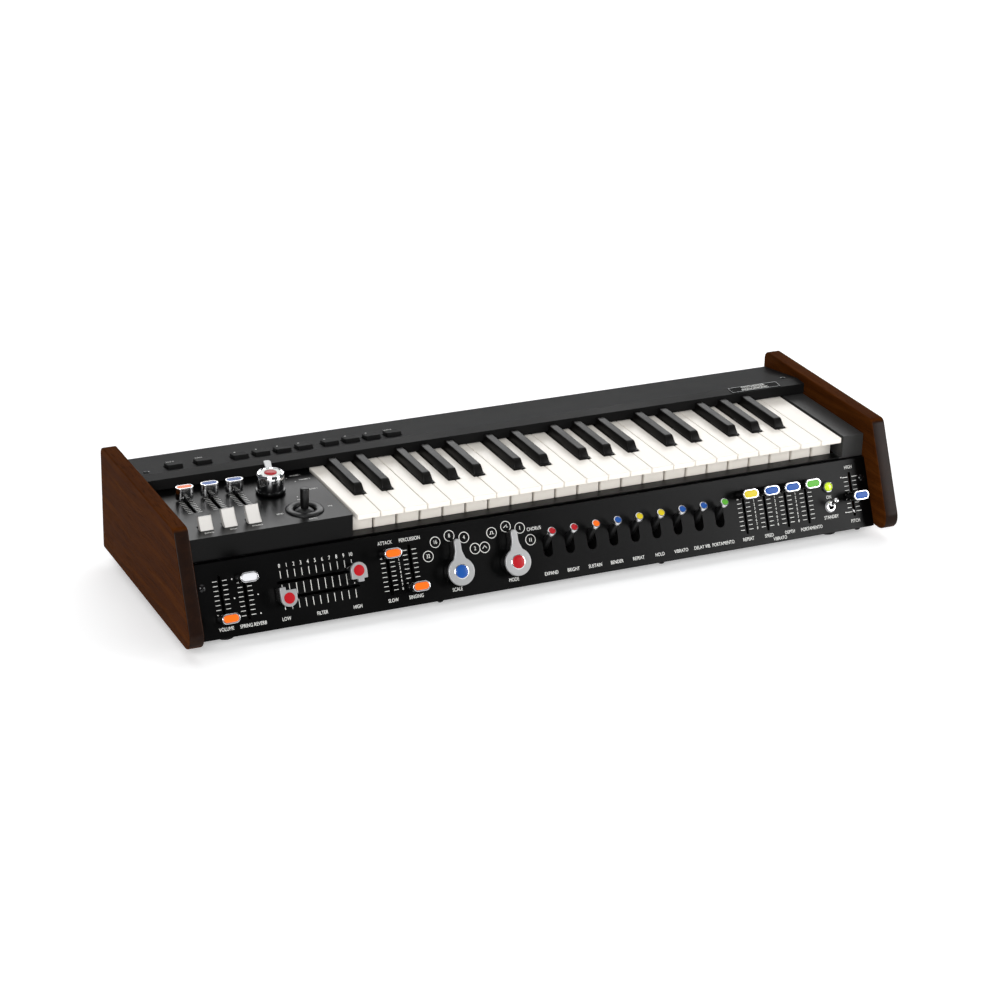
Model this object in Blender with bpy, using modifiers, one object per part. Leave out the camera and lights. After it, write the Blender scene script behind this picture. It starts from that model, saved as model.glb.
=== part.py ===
"""Keyboard synthesizer with 37 keys between two wooden side panels.

Everything is in metres with +Z up.  The origin lies on the ground under the middle
of the instrument; +X runs along the keyboard from low to high notes and +Y points
to the back.  The keyboard has its own datum, at the left end of the first white
key's front edge and level with the white key tops, and the panels hang from it.
"""
import math

import bmesh
import bpy
from mathutils import Matrix, Vector

MM = 0.001

# ---- driving dimensions (metres) ----
KEY_PITCH = 23.6 * MM          # one white key to the next
OCTAVES = 3
WHITE_KEYS = 7 * OCTAVES + 1
SIDE_WIDTH = 14.2 * MM         # thickness of each wooden side panel
LEFT_BAY = 167.3 * MM          # control bay between left panel and first key
RIGHT_BAY = 26.8 * MM          # block between last key and right panel
SIDE_TOP = 19.0 * MM           # side panel top above the key tops
SIDE_BOTTOM = -91.5 * MM       # side panel bottom edge, from the key tops
GROUND = -99.5 * MM            # underside of the feet, from the key tops
BACK = 201.6 * MM              # rear edge, from the key fronts
TOE = -58.5 * MM               # where the sloping front edge would meet the bottom
BROW = -9.3 * MM               # where the sloping front edge meets the top
GAP = 0.3 * MM                 # clearance between separate solids
SHEET = 1.5 * MM               # steel sheet

PANEL_SLOPE = math.radians(65.94)    # front panel, from lying flat
PANEL_TOP = (-0.9 * MM, -23.7 * MM)  # its top edge: y, z from the key datum
PANEL_LENGTH = 69.3 * MM             # down the slope

COVER_FRONT = 121.0 * MM
COVER_LIP_TOP = 11.2 * MM
COVER_CREASE = (135.2 * MM, 12.2 * MM)
COVER_BACK_TOP = 1.8 * MM

SLOT_TOP, SLOT_END = 12.3 * MM, 56.9 * MM    # fader slots, down the slope
FADER_HIGH, FADER_LOW = 17.4 * MM, 51.8 * MM  # cap centres at either end of travel
CAP_LENGTH, CAP_WIDTH = 18.4 * MM, 11.0 * MM
CAP_TOP = 19.0 * MM

KEY_PIVOT = (182.0 * MM, -20.0 * MM)
WHITE_WIDTH = 23.0 * MM
BLACK_BASE, BLACK_TOP = 11.2 * MM, 8.4 * MM
BLACK_HEIGHT = 8.5 * MM
BLACK_FRONT = 45.2 * MM

KEY_SPAN = WHITE_KEYS * KEY_PITCH
INNER_LEFT = -LEFT_BAY
INNER_RIGHT = KEY_SPAN + RIGHT_BAY
OUTER_LEFT = INNER_LEFT - SIDE_WIDTH
OUTER_RIGHT = INNER_RIGHT + SIDE_WIDTH
TOE_RADIUS = 10 * MM
TOE_ANGLE = math.atan2(SIDE_TOP - SIDE_BOTTOM, BROW - TOE)
FRONT_REACH = TOE + TOE_RADIUS / math.tan(TOE_ANGLE / 2) - TOE_RADIUS

DATUM = Vector((-(OUTER_LEFT + OUTER_RIGHT) / 2, -(FRONT_REACH + BACK) / 2, -GROUND))

# the black keys of an octave: white key to their left, and how far they lean
BLACK_LAYOUT = [(0, -2.2), (1, 2.2), (3, -2.8), (4, 0.0), (5, 2.8)]
NOTE_NAMES = ["c", "d", "e", "f", "g", "a", "b"]


# ---- helpers ----
def clear_scene():
    for item in list(bpy.data.objects):
        bpy.data.objects.remove(item, do_unlink=True)


def new_collection(name):
    collection = bpy.data.collections.new(name)
    bpy.context.scene.collection.children.link(collection)
    return collection


def material(name, colour, roughness, metallic=0.0):
    mat = bpy.data.materials.new(name)
    mat.use_nodes = True
    shader = mat.node_tree.nodes["Principled BSDF"]
    shader.inputs["Base Color"].default_value = (*colour, 1.0)
    shader.inputs["Roughness"].default_value = roughness
    shader.inputs["Metallic"].default_value = metallic
    return mat


def add_object(name, mesh, parent, location=(0, 0, 0), mat=None, cutter=False):
    item = bpy.data.objects.new(name, mesh)
    (CUTTERS if cutter else PARTS).objects.link(item)
    item.parent = parent
    item.location = location
    if cutter:
        item.hide_render = True
        item.display_type = "WIRE"
    else:
        mesh.materials.append(mat)
    return item


def box_mesh(low, high, name="box"):
    """A box between two corners."""
    low, high = Vector(low), Vector(high)
    shape = bmesh.new()
    size = high - low
    place = Matrix.Translation((low + high) / 2) @ Matrix.Diagonal((*size, 1))
    bmesh.ops.create_cube(shape, size=1.0, matrix=place)
    return finish_mesh(shape, name)


def round_mesh(radius_low, radius_high, low, high, centre=(0, 0), sides=24, name="round"):
    """A straight or tapered cylinder standing along Z."""
    shape = bmesh.new()
    place = Matrix.Translation((centre[0], centre[1], (low + high) / 2))
    bmesh.ops.create_cone(shape, cap_ends=True, segments=sides, radius1=radius_low,
                          radius2=radius_high, depth=high - low, matrix=place)
    return finish_mesh(shape, name)


def finish_mesh(shape, name):
    mesh = bpy.data.meshes.new(name)
    shape.to_mesh(mesh)
    shape.free()
    return mesh


def outline_mesh(points, low, high, name="outline"):
    """A flat outline in XY as a filled 2D curve, made a solid from low to high in Z."""
    curve = bpy.data.curves.new(name, "CURVE")
    curve.dimensions = "2D"
    curve.fill_mode = "BOTH"
    curve.extrude = (high - low) / 2
    spline = curve.splines.new("POLY")
    spline.points.add(len(points) - 1)
    for point, (x, y) in zip(spline.points, points):
        point.co = (x, y, 0, 1)
    spline.use_cyclic_u = True
    holder = bpy.data.objects.new(name, curve)
    bpy.context.scene.collection.objects.link(holder)
    depsgraph = bpy.context.evaluated_depsgraph_get()
    mesh = bpy.data.meshes.new_from_object(holder.evaluated_get(depsgraph))
    bpy.data.objects.remove(holder, do_unlink=True)
    shape = bmesh.new()
    shape.from_mesh(mesh)
    bmesh.ops.remove_doubles(shape, verts=shape.verts, dist=1e-6)
    bmesh.ops.translate(shape, verts=shape.verts, vec=(0, 0, (low + high) / 2))
    bmesh.ops.recalc_face_normals(shape, faces=shape.faces)
    return finish_mesh(shape, name)


def profile_mesh(points, left, right, name="profile"):
    """An outline in YZ carried along X from left to right."""
    mesh = outline_mesh(points, left, right, name)
    mesh.transform(Matrix(((0, 0, 1, 0), (1, 0, 0, 0), (0, 1, 0, 0), (0, 0, 0, 1))))
    return mesh


def arc(centre, radius, start, end, steps):
    """Points on an arc, with the angles in degrees."""
    angles = [math.radians(start + (end - start) * k / steps) for k in range(steps + 1)]
    return [(centre[0] + radius * math.cos(a), centre[1] + radius * math.sin(a)) for a in angles]


def stadium(centre, length, width, steps=6, upright=False):
    """A slot outline with round ends, lying along X or standing along Y."""
    straight = (length - width) / 2
    radius = width / 2
    points = arc((straight, 0), radius, -90, 90, steps) + arc((-straight, 0), radius, 90, 270, steps)
    if upright:
        points = [(-y, x) for x, y in points]
    return [(centre[0] + x, centre[1] + y) for x, y in points]


def rounded_polygon(corners, steps=5):
    """Corners given as (x, y, radius), each rounded by an arc."""
    points = []
    for index, (x, y, radius) in enumerate(corners):
        here = Vector((x, y))
        back = (Vector(corners[index - 1][:2]) - here).normalized()
        ahead = (Vector(corners[(index + 1) % len(corners)][:2]) - here).normalized()
        half = back.angle(ahead) / 2
        if radius == 0:
            points.append((x, y))
            continue
        centre = here + (back + ahead).normalized() * (radius / math.sin(half))
        first = here + back * (radius / math.tan(half)) - centre
        last = here + ahead * (radius / math.tan(half)) - centre
        turn = first.angle_signed(last)
        for step in range(steps + 1):
            spoke = Matrix.Rotation(-turn * step / steps, 2) @ first
            points.append(tuple(centre + spoke))
    return points


def joined(meshes, name):
    """Several closed meshes in one, for use as a cutter."""
    shape = bmesh.new()
    for mesh in meshes:
        shape.from_mesh(mesh)
    return finish_mesh(shape, name)


def combine(target, operation, mesh):
    """Adds or cuts away one mesh that is given in the target's own coordinates."""
    tool = add_object(f"{operation.lower()}_{target.name}", mesh, target.parent,
                      target.location, cutter=True)
    step = target.modifiers.new(operation.title(), "BOOLEAN")
    step.operation = operation
    step.solver = "EXACT"
    step.object = tool


def soften(target, width, segments=1, angle=35):
    bevel = target.modifiers.new("Bevel", "BEVEL")
    bevel.width = width
    bevel.segments = segments
    bevel.limit_method = "ANGLE"
    bevel.angle_limit = math.radians(angle)


def datum(name, location, rotation=0.0, parent=None):
    empty = bpy.data.objects.new(name, None)
    PARTS.objects.link(empty)
    empty.parent = parent
    empty.location = location
    empty.rotation_euler = (rotation, 0, 0)
    return empty


# ---- structure ----
def build_side_panels():
    corners = [(BACK, SIDE_BOTTOM, 3 * MM), (BACK, SIDE_TOP, 8 * MM), (BROW, SIDE_TOP, 7 * MM),
               (TOE, SIDE_BOTTOM, TOE_RADIUS)]
    for name, edge in (("left_side_panel", OUTER_LEFT), ("right_side_panel", INNER_RIGHT)):
        mesh = profile_mesh(rounded_polygon(corners), edge, edge + SIDE_WIDTH, name)
        panel = add_object(name, mesh, KEYS, mat=WALNUT)
        soften(panel, 0.8 * MM)


SOCKETS = [  # name, x from the keyboard's left end, height above the floor, width
    ("power", 470 * MM, 40 * MM, 11 * MM),
    ("midi", 392 * MM, 42 * MM, 15.5 * MM),
    ("line_out", 330 * MM, 42 * MM, 10 * MM),
    ("headphones", 290 * MM, 42 * MM, 10 * MM),
]
FEET_X = (-131 * MM, 509 * MM)
FEET_Y = (0.0, 180 * MM)
FLOOR_LOW, FLOOR_HIGH = -88.9 * MM, -87.5 * MM


def build_chassis():
    """Bottom tray with its back wall, the key rail on posts and four feet, welded up."""
    left, right = INNER_LEFT + GAP, INNER_RIGHT - GAP
    floor = box_mesh((left, -26 * MM, FLOOR_LOW), (right, BACK, FLOOR_HIGH), "chassis")
    chassis = add_object("chassis", floor, KEYS, mat=BLACK_STEEL)
    wall_top = COVER_BACK_TOP - 2.4 * MM
    combine(chassis, "UNION", box_mesh((left, BACK - SHEET, FLOOR_LOW), (right, BACK, wall_top)))
    rail_top = KEY_PIVOT[1] - GAP
    combine(chassis, "UNION", box_mesh((-2 * MM, 174 * MM, rail_top - 8 * MM),
                                       (KEY_SPAN + 2 * MM, 190 * MM, rail_top)))
    for x in (20 * MM, KEY_SPAN / 2, KEY_SPAN - 20 * MM):
        post = box_mesh((x - 3 * MM, 177 * MM, FLOOR_LOW + 0.5 * MM),
                        (x + 3 * MM, 187 * MM, rail_top - 4 * MM))
        combine(chassis, "UNION", post)
    for x in FEET_X:
        for y in FEET_Y:
            foot = round_mesh(9 * MM, 10 * MM, GROUND, FLOOR_HIGH - 0.5 * MM, (x, y), 20)
            combine(chassis, "UNION", foot)
    for name, x, height, width in SOCKETS:
        z = FLOOR_HIGH + height
        hole = box_mesh((x - width / 2, BACK - 5 * MM, z - width / 2),
                        (x + width / 2, BACK + 5 * MM, z + width / 2), name)
        combine(chassis, "DIFFERENCE", hole)


def build_front_panel():
    """Folded steel front: sloping face, ledge under the keys and a return at the bottom."""
    slope = (-math.cos(PANEL_SLOPE), -math.sin(PANEL_SLOPE))
    top = PANEL_TOP
    end = (top[0] + slope[0] * PANEL_LENGTH, top[1] + slope[1] * PANEL_LENGTH)
    inward = SHEET / math.sin(PANEL_SLOPE)
    profile = [top, end, (end[0] + 14 * MM, end[1]), (end[0] + 14 * MM, end[1] + SHEET),
               (end[0] + inward + SHEET * slope[0] / slope[1], end[1] + SHEET),
               (top[0] + inward - SHEET * slope[0] / slope[1], top[1] - SHEET),
               (16 * MM, top[1] - SHEET), (16 * MM, top[1])]
    mesh = profile_mesh(profile, INNER_LEFT + GAP, INNER_RIGHT - GAP, "front_panel")
    panel = add_object("front_panel", mesh, KEYS, mat=BLACK_STEEL)
    depth = 4 * MM
    holes = []
    middle = -(SLOT_TOP + SLOT_END) / 2
    for x in FADERS.values():
        holes.append(outline_mesh(stadium((x, middle), SLOT_END - SLOT_TOP, 2.8 * MM, 4, True),
                                  -depth, depth))
    for x in MOD_FADERS:
        holes.append(outline_mesh(stadium((x, middle), SLOT_END - SLOT_TOP, 2.8 * MM, 4, True),
                                  -depth, depth))
    for row in (TRAVEL_HIGH_ROW, TRAVEL_LOW_ROW):
        centre = ((TRAVEL_LEFT + TRAVEL_RIGHT) / 2, -row)
        holes.append(outline_mesh(stadium(centre, TRAVEL_RIGHT - TRAVEL_LEFT + 9 * MM, 2.8 * MM, 4),
                                  -depth, depth))
    for x in LEVERS:
        holes.append(outline_mesh(stadium((x, -LEVER_ROW), 20 * MM, 9.6 * MM, 5, True),
                                  -depth, depth))
    for x, row, radius in ((SCALE_X, KNOB_ROW, 3.6 * MM), (MODE_X, KNOB_ROW, 3.6 * MM),
                           (SWITCH_X, SWITCH_ROW, 5.4 * MM)):
        holes.append(round_mesh(radius, radius, -depth, depth, (x, -row), 16))
    cutter = joined(holes, "front_panel_holes")
    cutter.transform(FACE.matrix_local)
    combine(panel, "DIFFERENCE", cutter)


def build_surround():
    """Left control housing, right end block and the strip that joins them below the keys."""
    top, bottom = 0.0, -23.4 * MM
    front, back = 2.9 * MM, 124 * MM
    left_end, right_end = -3.2 * MM, KEY_SPAN + 3.3 * MM
    low_left, high_right = INNER_LEFT + GAP, INNER_RIGHT - GAP
    housing = box_mesh((low_left, front, bottom), (left_end, back, top), "keyboard_surround")
    surround = add_object("keyboard_surround", housing, KEYS, mat=BLACK_STEEL)
    combine(surround, "UNION", box_mesh((right_end, front, bottom), (high_right, back, top)))
    combine(surround, "UNION", box_mesh((left_end - 2 * MM, front, bottom),
                                        (right_end + 2 * MM, 16 * MM, bottom + SHEET)))
    cavities = [
        box_mesh((low_left + SHEET, front + SHEET, bottom - 5 * MM),
                 (left_end - SHEET, back - SHEET, top - SHEET)),
        box_mesh((right_end + SHEET, front + SHEET, bottom - 5 * MM),
                 (high_right - SHEET, back - SHEET, top - SHEET)),
    ]
    combine(surround, "DIFFERENCE", joined(cavities, "housing_cavities"))
    holes = []
    depth = 4 * MM
    for x in TOP_FADERS:
        centre = (x, (TOP_FADER_FRONT + TOP_FADER_BACK) / 2)
        length = TOP_FADER_BACK - TOP_FADER_FRONT + 10 * MM
        holes.append(outline_mesh(stadium(centre, length, 2.8 * MM, 4, True), -depth, depth))
    for x in ROCKERS:
        holes.append(box_mesh((x - 6.6 * MM, ROCKER_Y - 5.5 * MM, -depth),
                              (x + 6.6 * MM, ROCKER_Y + 5.5 * MM, depth)))
    holes.append(round_mesh(3.6 * MM, 3.6 * MM, -depth, depth, EFFECT_KNOB, 16))
    holes.append(round_mesh(10.5 * MM, 10.5 * MM, -depth, depth, JOYSTICK, 24))
    combine(surround, "DIFFERENCE", joined(holes, "housing_holes"))


def build_rear_cover():
    """Folded cover over the key tails: fascia, flat lip and a face falling to the back."""
    crease_y, crease_z = COVER_CREASE
    low = 0.8 * MM
    back = BACK - 0.2 * MM
    profile = [(COVER_FRONT, low), (COVER_FRONT, COVER_LIP_TOP), (crease_y, crease_z),
               (back, COVER_BACK_TOP), (back, COVER_BACK_TOP - SHEET),
               (crease_y, crease_z - SHEET), (COVER_FRONT + SHEET, COVER_LIP_TOP - SHEET),
               (COVER_FRONT + SHEET, low)]
    mesh = profile_mesh(profile, INNER_LEFT + GAP, INNER_RIGHT - GAP, "rear_cover")
    cover = add_object("rear_cover", mesh, KEYS, mat=CHARCOAL_STEEL)
    holes = [box_mesh((x - BUTTON_LENGTH / 2 - 0.6 * MM, -BUTTON_WIDTH / 2 - 0.6 * MM, -4 * MM),
                      (x + BUTTON_LENGTH / 2 + 0.6 * MM, BUTTON_WIDTH / 2 + 0.6 * MM, 4 * MM))
             for x in BUTTONS]
    cutter = joined(holes, "button_holes")
    cutter.transform(ROOF.matrix_local)
    combine(cover, "DIFFERENCE", cutter)


# ---- keys ----
def black_centre(octave, slot, lean):
    return (octave * 7 + slot + 1) * KEY_PITCH + lean * MM


def build_white_key(index, name):
    """One white key: overhanging lip, set-back skirt, and a tail that reaches the rail."""
    pivot_y, pivot_z = KEY_PIVOT
    profile = [(0, 0), (0, -5.1 * MM), (18.3 * MM, -5.1 * MM), (18.3 * MM, -24.8 * MM),
               (21.3 * MM, -24.8 * MM), (24 * MM, -14 * MM), (pivot_y - 3 * MM, -14 * MM),
               (pivot_y - 2 * MM, pivot_z), (pivot_y + 2 * MM, pivot_z),
               (pivot_y + 4 * MM, -5 * MM), (COVER_FRONT + 6 * MM, -5 * MM),
               (COVER_FRONT + 3 * MM, 0)]
    profile = [(y - pivot_y, z - pivot_z) for y, z in profile]
    mesh = profile_mesh(profile, -WHITE_WIDTH / 2, WHITE_WIDTH / 2, name)
    centre = (index + 0.5) * KEY_PITCH
    key = add_object(name, mesh, KEYS, (centre, pivot_y, pivot_z), IVORY)
    notches = []
    for octave in range(OCTAVES):
        for slot, lean in BLACK_LAYOUT:
            offset = black_centre(octave, slot, lean) - centre
            if abs(offset) < KEY_PITCH:
                half = BLACK_BASE / 2 + 0.9 * MM
                side = math.copysign(KEY_PITCH, offset)
                low, high = sorted((offset - math.copysign(half, offset), side))
                notches.append(box_mesh((low, BLACK_FRONT - 1.2 * MM - pivot_y, -30 * MM),
                                        (high, 12 * MM, 30 * MM)))
    if notches:
        combine(key, "DIFFERENCE", joined(notches, f"notches_{name}"))


def build_black_key(centre, name):
    """One black key: a tapered block with a raked front, on a narrow tail to the rail."""
    pivot_y, pivot_z = KEY_PIVOT
    tail = [(BLACK_FRONT + 0.5 * MM, -1.5 * MM), (BLACK_FRONT + 0.5 * MM, -13 * MM),
            (pivot_y - 3 * MM, -14 * MM), (pivot_y - 2 * MM, pivot_z),
            (pivot_y + 2 * MM, pivot_z), (pivot_y + 4 * MM, -5 * MM),
            (COVER_FRONT + 6 * MM, -5 * MM), (COVER_FRONT - 2 * MM, -1.5 * MM)]
    tail = [(y - pivot_y, z - pivot_z) for y, z in tail]
    mesh = profile_mesh(tail, -BLACK_BASE / 2 + 0.2 * MM, BLACK_BASE / 2 - 0.2 * MM, name)
    key = add_object(name, mesh, KEYS, (centre, pivot_y, pivot_z), EBONY)
    block = bmesh.new()
    bmesh.ops.create_cube(block, size=1.0)
    for vert in block.verts:
        up = vert.co.z > 0
        width = BLACK_TOP if up else BLACK_BASE
        front = BLACK_FRONT + (7.5 * MM if up else 0)
        back = COVER_FRONT - 1.2 * MM
        vert.co = (math.copysign(width / 2, vert.co.x), (front if vert.co.y < 0 else back) - pivot_y,
                   (BLACK_HEIGHT if up else -2.5 * MM) - pivot_z)
    combine(key, "UNION", finish_mesh(block, f"top_{name}"))


def build_keys():
    for index in range(WHITE_KEYS):
        octave, step = divmod(index, 7)
        build_white_key(index, f"key_{NOTE_NAMES[step]}{octave + 3}")
    for octave in range(OCTAVES):
        for slot, lean in BLACK_LAYOUT:
            name = f"key_{NOTE_NAMES[slot]}sharp{octave + 3}"
            build_black_key(black_centre(octave, slot, lean), name)


# ---- controls on the front panel; x along it, rows measured down the slope ----
FADERS = {"volume": -137.9 * MM, "reverb": -115.0 * MM, "attack": 25.8 * MM,
          "percussion": 48.8 * MM, "pitch": 525.9 * MM}
FADER_REST = {"volume": FADER_LOW, "reverb": FADER_HIGH, "attack": FADER_HIGH,
              "percussion": FADER_LOW, "pitch": 36.5 * MM}
MOD_FADERS = [(403.6 + 23.4 * k) * MM for k in range(4)]
TRAVEL_LEFT, TRAVEL_RIGHT = -79.5 * MM, -9.0 * MM
TRAVEL_HIGH_ROW, TRAVEL_LOW_ROW = 28.0 * MM, 42.5 * MM
LEVERS = [(189.0 + 23.3 * k) * MM for k in range(9)]
LEVER_ROW = 36.0 * MM
LEVER_TILT = math.radians(30)
LEVER_DEPTH = -10 * MM
SCALE_X, MODE_X, KNOB_ROW = 92.4 * MM, 150.8 * MM, 45.0 * MM
SWITCH_X, SWITCH_ROW = 499.2 * MM, 43.6 * MM

# controls on the left housing, from the keyboard datum
TOP_FADERS = [(-136.0 + 24.5 * k) * MM for k in range(3)]
TOP_FADER_FRONT, TOP_FADER_BACK = 65 * MM, 91.5 * MM
ROCKERS = [(-139.5 + 23.3 * k) * MM for k in range(3)]
ROCKER_Y = 24 * MM
EFFECT_KNOB = (-55.1 * MM, 80.1 * MM)
JOYSTICK = (-40.4 * MM, 30.1 * MM)
JOYSTICK_PIVOT = -11 * MM

# push buttons on the cover
BUTTONS = [x * MM for x in (-127, -98, -61, -39.2, -17.4, 4.5, 31.5, 53.3, 75.1, 97)]
BUTTON_LENGTH, BUTTON_WIDTH = 15.5 * MM, 13 * MM
BUTTON_ROW = 148.8 * MM


def fader(name, x, row, parent=None, top=CAP_TOP):
    """A racetrack cap on a flat stem that passes through its slot."""
    parent = parent or FACE
    cap = outline_mesh(stadium((0, 0), CAP_LENGTH, CAP_WIDTH), 2 * MM, top, name)
    item = add_object(name, cap, parent, (x, row, 0), CAP_RIM)
    combine(item, "UNION", box_mesh((-0.9 * MM, -3 * MM, -9 * MM), (0.9 * MM, 3 * MM, 5 * MM)))
    return item


def fader_bank(name, places, row, parent, top=CAP_TOP):
    """Equal faders on one hidden bar."""
    item = fader(name, places[0], row, parent, top)
    last = places[-1] - places[0]
    for x in places[1:]:
        offset = x - places[0]
        cap = outline_mesh(stadium((offset, 0), CAP_LENGTH, CAP_WIDTH), 2 * MM, top)
        combine(item, "UNION", cap)
        combine(item, "UNION", box_mesh((offset - 0.9 * MM, -3 * MM, -9 * MM),
                                        (offset + 0.9 * MM, 3 * MM, 5 * MM)))
    combine(item, "UNION", box_mesh((-3 * MM, -2 * MM, -8 * MM), (last + 3 * MM, 2 * MM, -6 * MM)))
    return item


def travel_cap(name, x, row, facing, tab_left):
    """A cap with one round end and a small index tab on its flat end."""
    half = 8.9 * MM
    flat, shoulder = 8.5 * MM, 8.3 * MM
    tab_right, tab_end = tab_left + 6.4 * MM, flat + 3.5 * MM
    outline = arc((0, 0), half, 180, 360, 12) + [(half, shoulder), (tab_right, flat),
                                                 (tab_right, tab_end), (tab_left, tab_end)]
    if tab_left > -half:
        outline += [(tab_left, flat), (-half, shoulder)]
    points = [(px, py * facing) for px, py in outline[::facing]]
    item = add_object(name, outline_mesh(points, 2 * MM, 16 * MM, name), FACE, (x, -row, 0), CAP_RIM)
    combine(item, "UNION", box_mesh((-3 * MM, -0.9 * MM, -9 * MM), (3 * MM, 0.9 * MM, 5 * MM)))
    return item


def teardrop(radius, reach, neck, steps=18):
    """Outline of a round knob whose pointer reaches out along +Y."""
    start = math.degrees(math.acos(neck / radius)) + 8
    body = arc((0, 0), radius, -360 + 180 - start, start, steps)
    tip = arc((0, reach - neck), neck, 0, 180, 5)
    return body + tip


def pointer_knob(name, parent, location, top, mat):
    shape = teardrop(13.5 * MM, 31 * MM, 3.2 * MM)
    item = add_object(name, outline_mesh(shape, 1 * MM, top, name), parent, location, mat)
    combine(item, "UNION", round_mesh(3 * MM, 3 * MM, -9 * MM, 3 * MM, sides=12))
    return item


def build_levers():
    """Nine paddle levers on one shaft behind the panel."""
    tilt = Matrix.Rotation(LEVER_TILT, 4, "X").inverted()
    shaft_rod = round_mesh(2.5 * MM, 2.5 * MM, LEVERS[0] - 6 * MM, LEVERS[-1] + 6 * MM, sides=12)
    shaft_rod.transform(Matrix.Rotation(math.pi / 2, 4, "Y"))
    bank = add_object("effect_levers", shaft_rod, FACE, (0, -LEVER_ROW, LEVER_DEPTH), LEVER_BLACK)
    for x in LEVERS:
        stem = bmesh.new()
        bmesh.ops.create_cone(stem, cap_ends=True, segments=4, radius1=4.6 * MM, radius2=2.2 * MM,
                              depth=26 * MM, matrix=Matrix.Translation((0, 0, 13 * MM))
                              @ Matrix.Rotation(math.pi / 4, 4, "Z"))
        stem_mesh = finish_mesh(stem, "lever_stem")
        tip = round_mesh(4.2 * MM, 4.2 * MM, 25.2 * MM, 30 * MM, sides=14)
        for piece in (stem_mesh, tip):
            piece.transform(Matrix.Translation((x, 0, 0)) @ tilt)
            combine(bank, "UNION", piece)


def build_front_controls():
    for name, x in FADERS.items():
        fader(f"{name}_slider", x, -FADER_REST[name])
    fader_bank("modulation_sliders", MOD_FADERS, -FADER_HIGH, FACE)
    travel_cap("traveler_low_slider", TRAVEL_LEFT, TRAVEL_LOW_ROW, 1, -8.9 * MM)
    travel_cap("traveler_high_slider", TRAVEL_RIGHT, TRAVEL_HIGH_ROW, -1, -2 * MM)
    pointer_knob("scale_knob", FACE, (SCALE_X, -KNOB_ROW, 0), 14 * MM, LEVER_BLACK)
    pointer_knob("mode_knob", FACE, (MODE_X, -KNOB_ROW, 0), 14 * MM, LEVER_BLACK)
    build_levers()
    bat = round_mesh(1.7 * MM, 2.6 * MM, -2 * MM, 17 * MM, sides=14, name="power_toggle")
    bat.transform(Matrix.Rotation(math.radians(-22), 4, "X"))
    toggle = add_object("power_toggle", bat, FACE, (SWITCH_X, -SWITCH_ROW, 0), CHROME)
    soften(toggle, 0.5 * MM, 1, 50)


def build_top_controls():
    fader_bank("top_sliders", TOP_FADERS, TOP_FADER_BACK, KEYS, 14 * MM)
    pointer_knob("effect_knob", KEYS, (*EFFECT_KNOB, 0), 21 * MM, CHROME)
    pivot = (*JOYSTICK, JOYSTICK_PIVOT)
    ring = outline_mesh(stadium((0, 0), 26.01 * MM, 26 * MM, 8), -2 * MM, 2 * MM, "joystick_gimbal")
    gimbal = add_object("joystick_gimbal", ring, KEYS, pivot, CHROME)
    combine(gimbal, "DIFFERENCE", round_mesh(8 * MM, 8 * MM, -5 * MM, 5 * MM, sides=16))
    stick = round_mesh(3.6 * MM, 4.2 * MM, -5 * MM, 32.7 * MM, sides=20, name="joystick_stick")
    stick_item = add_object("joystick_stick", stick, KEYS, pivot, LEVER_BLACK)
    soften(stick_item, 0.6 * MM, 1, 50)


def build_buttons():
    """Ten square push buttons on one rubber mat under the cover."""
    base = box_mesh((BUTTONS[0] - 9 * MM, -8 * MM, -5.6 * MM), (BUTTONS[-1] + 9 * MM, 8 * MM, -3.6 * MM),
                    "preset_buttons")
    mat_item = add_object("preset_buttons", base, ROOF, mat=BUTTON_BLACK)
    for x in BUTTONS:
        combine(mat_item, "UNION",
                box_mesh((x - BUTTON_LENGTH / 2, -BUTTON_WIDTH / 2, -5 * MM),
                         (x + BUTTON_LENGTH / 2, BUTTON_WIDTH / 2, 3.6 * MM)))


def shade_round_pieces():
    for item in PARTS.objects:
        if item.type == "MESH":
            item.data.shade_smooth()
            item.data.set_sharp_from_angle(angle=math.radians(35))


clear_scene()
PARTS = new_collection("synthesizer")
CUTTERS = new_collection("cutters")

WALNUT = material("walnut", (0.16, 0.055, 0.028), 0.38)
BLACK_STEEL = material("black_steel", (0.012, 0.012, 0.013), 0.42)
CHARCOAL_STEEL = material("charcoal_steel", (0.03, 0.03, 0.031), 0.5)
IVORY = material("ivory_plastic", (0.86, 0.84, 0.8), 0.28)
EBONY = material("ebony_plastic", (0.025, 0.025, 0.025), 0.4)
CAP_RIM = material("cap_rim", (0.62, 0.62, 0.62), 0.3, 0.6)
CHROME = material("chrome", (0.75, 0.75, 0.76), 0.12, 1.0)
LEVER_BLACK = material("control_black", (0.02, 0.02, 0.02), 0.45)
BUTTON_BLACK = material("button_rubber", (0.018, 0.018, 0.018), 0.65)

KEYS = datum("keyboard_datum", DATUM)
FACE = datum("front_face_datum", (0, *PANEL_TOP), PANEL_SLOPE, KEYS)
ROOF_SLOPE = math.atan2(COVER_BACK_TOP - COVER_CREASE[1], BACK - COVER_CREASE[0])
ROOF_Z = COVER_CREASE[1] + (BUTTON_ROW - COVER_CREASE[0]) * math.tan(ROOF_SLOPE)
ROOF = datum("cover_face_datum", (0, BUTTON_ROW, ROOF_Z), ROOF_SLOPE, KEYS)
bpy.context.view_layer.update()

build_side_panels()
build_chassis()
build_front_panel()
build_surround()
build_rear_cover()
build_keys()
build_front_controls()
build_top_controls()
build_buttons()
shade_round_pieces()
bpy.context.view_layer.update()
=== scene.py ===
# %% [markdown]
# # A wooden-sided keyboard synthesizer
#
# The solid model is already made: every key, slider and sheet-metal part is in the
# frame, at its true size. This notebook gives each one its fine shape and its finish.
# Structure is kept or refined from the frame; keys, caps, knobs, levers and marks are
# worked out again as smooth surfaces, because edges that catch light carry the look.
# %% Load the frame
import math

import bmesh
import bpy
import numpy as np
from mathutils import Matrix, Vector


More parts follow.
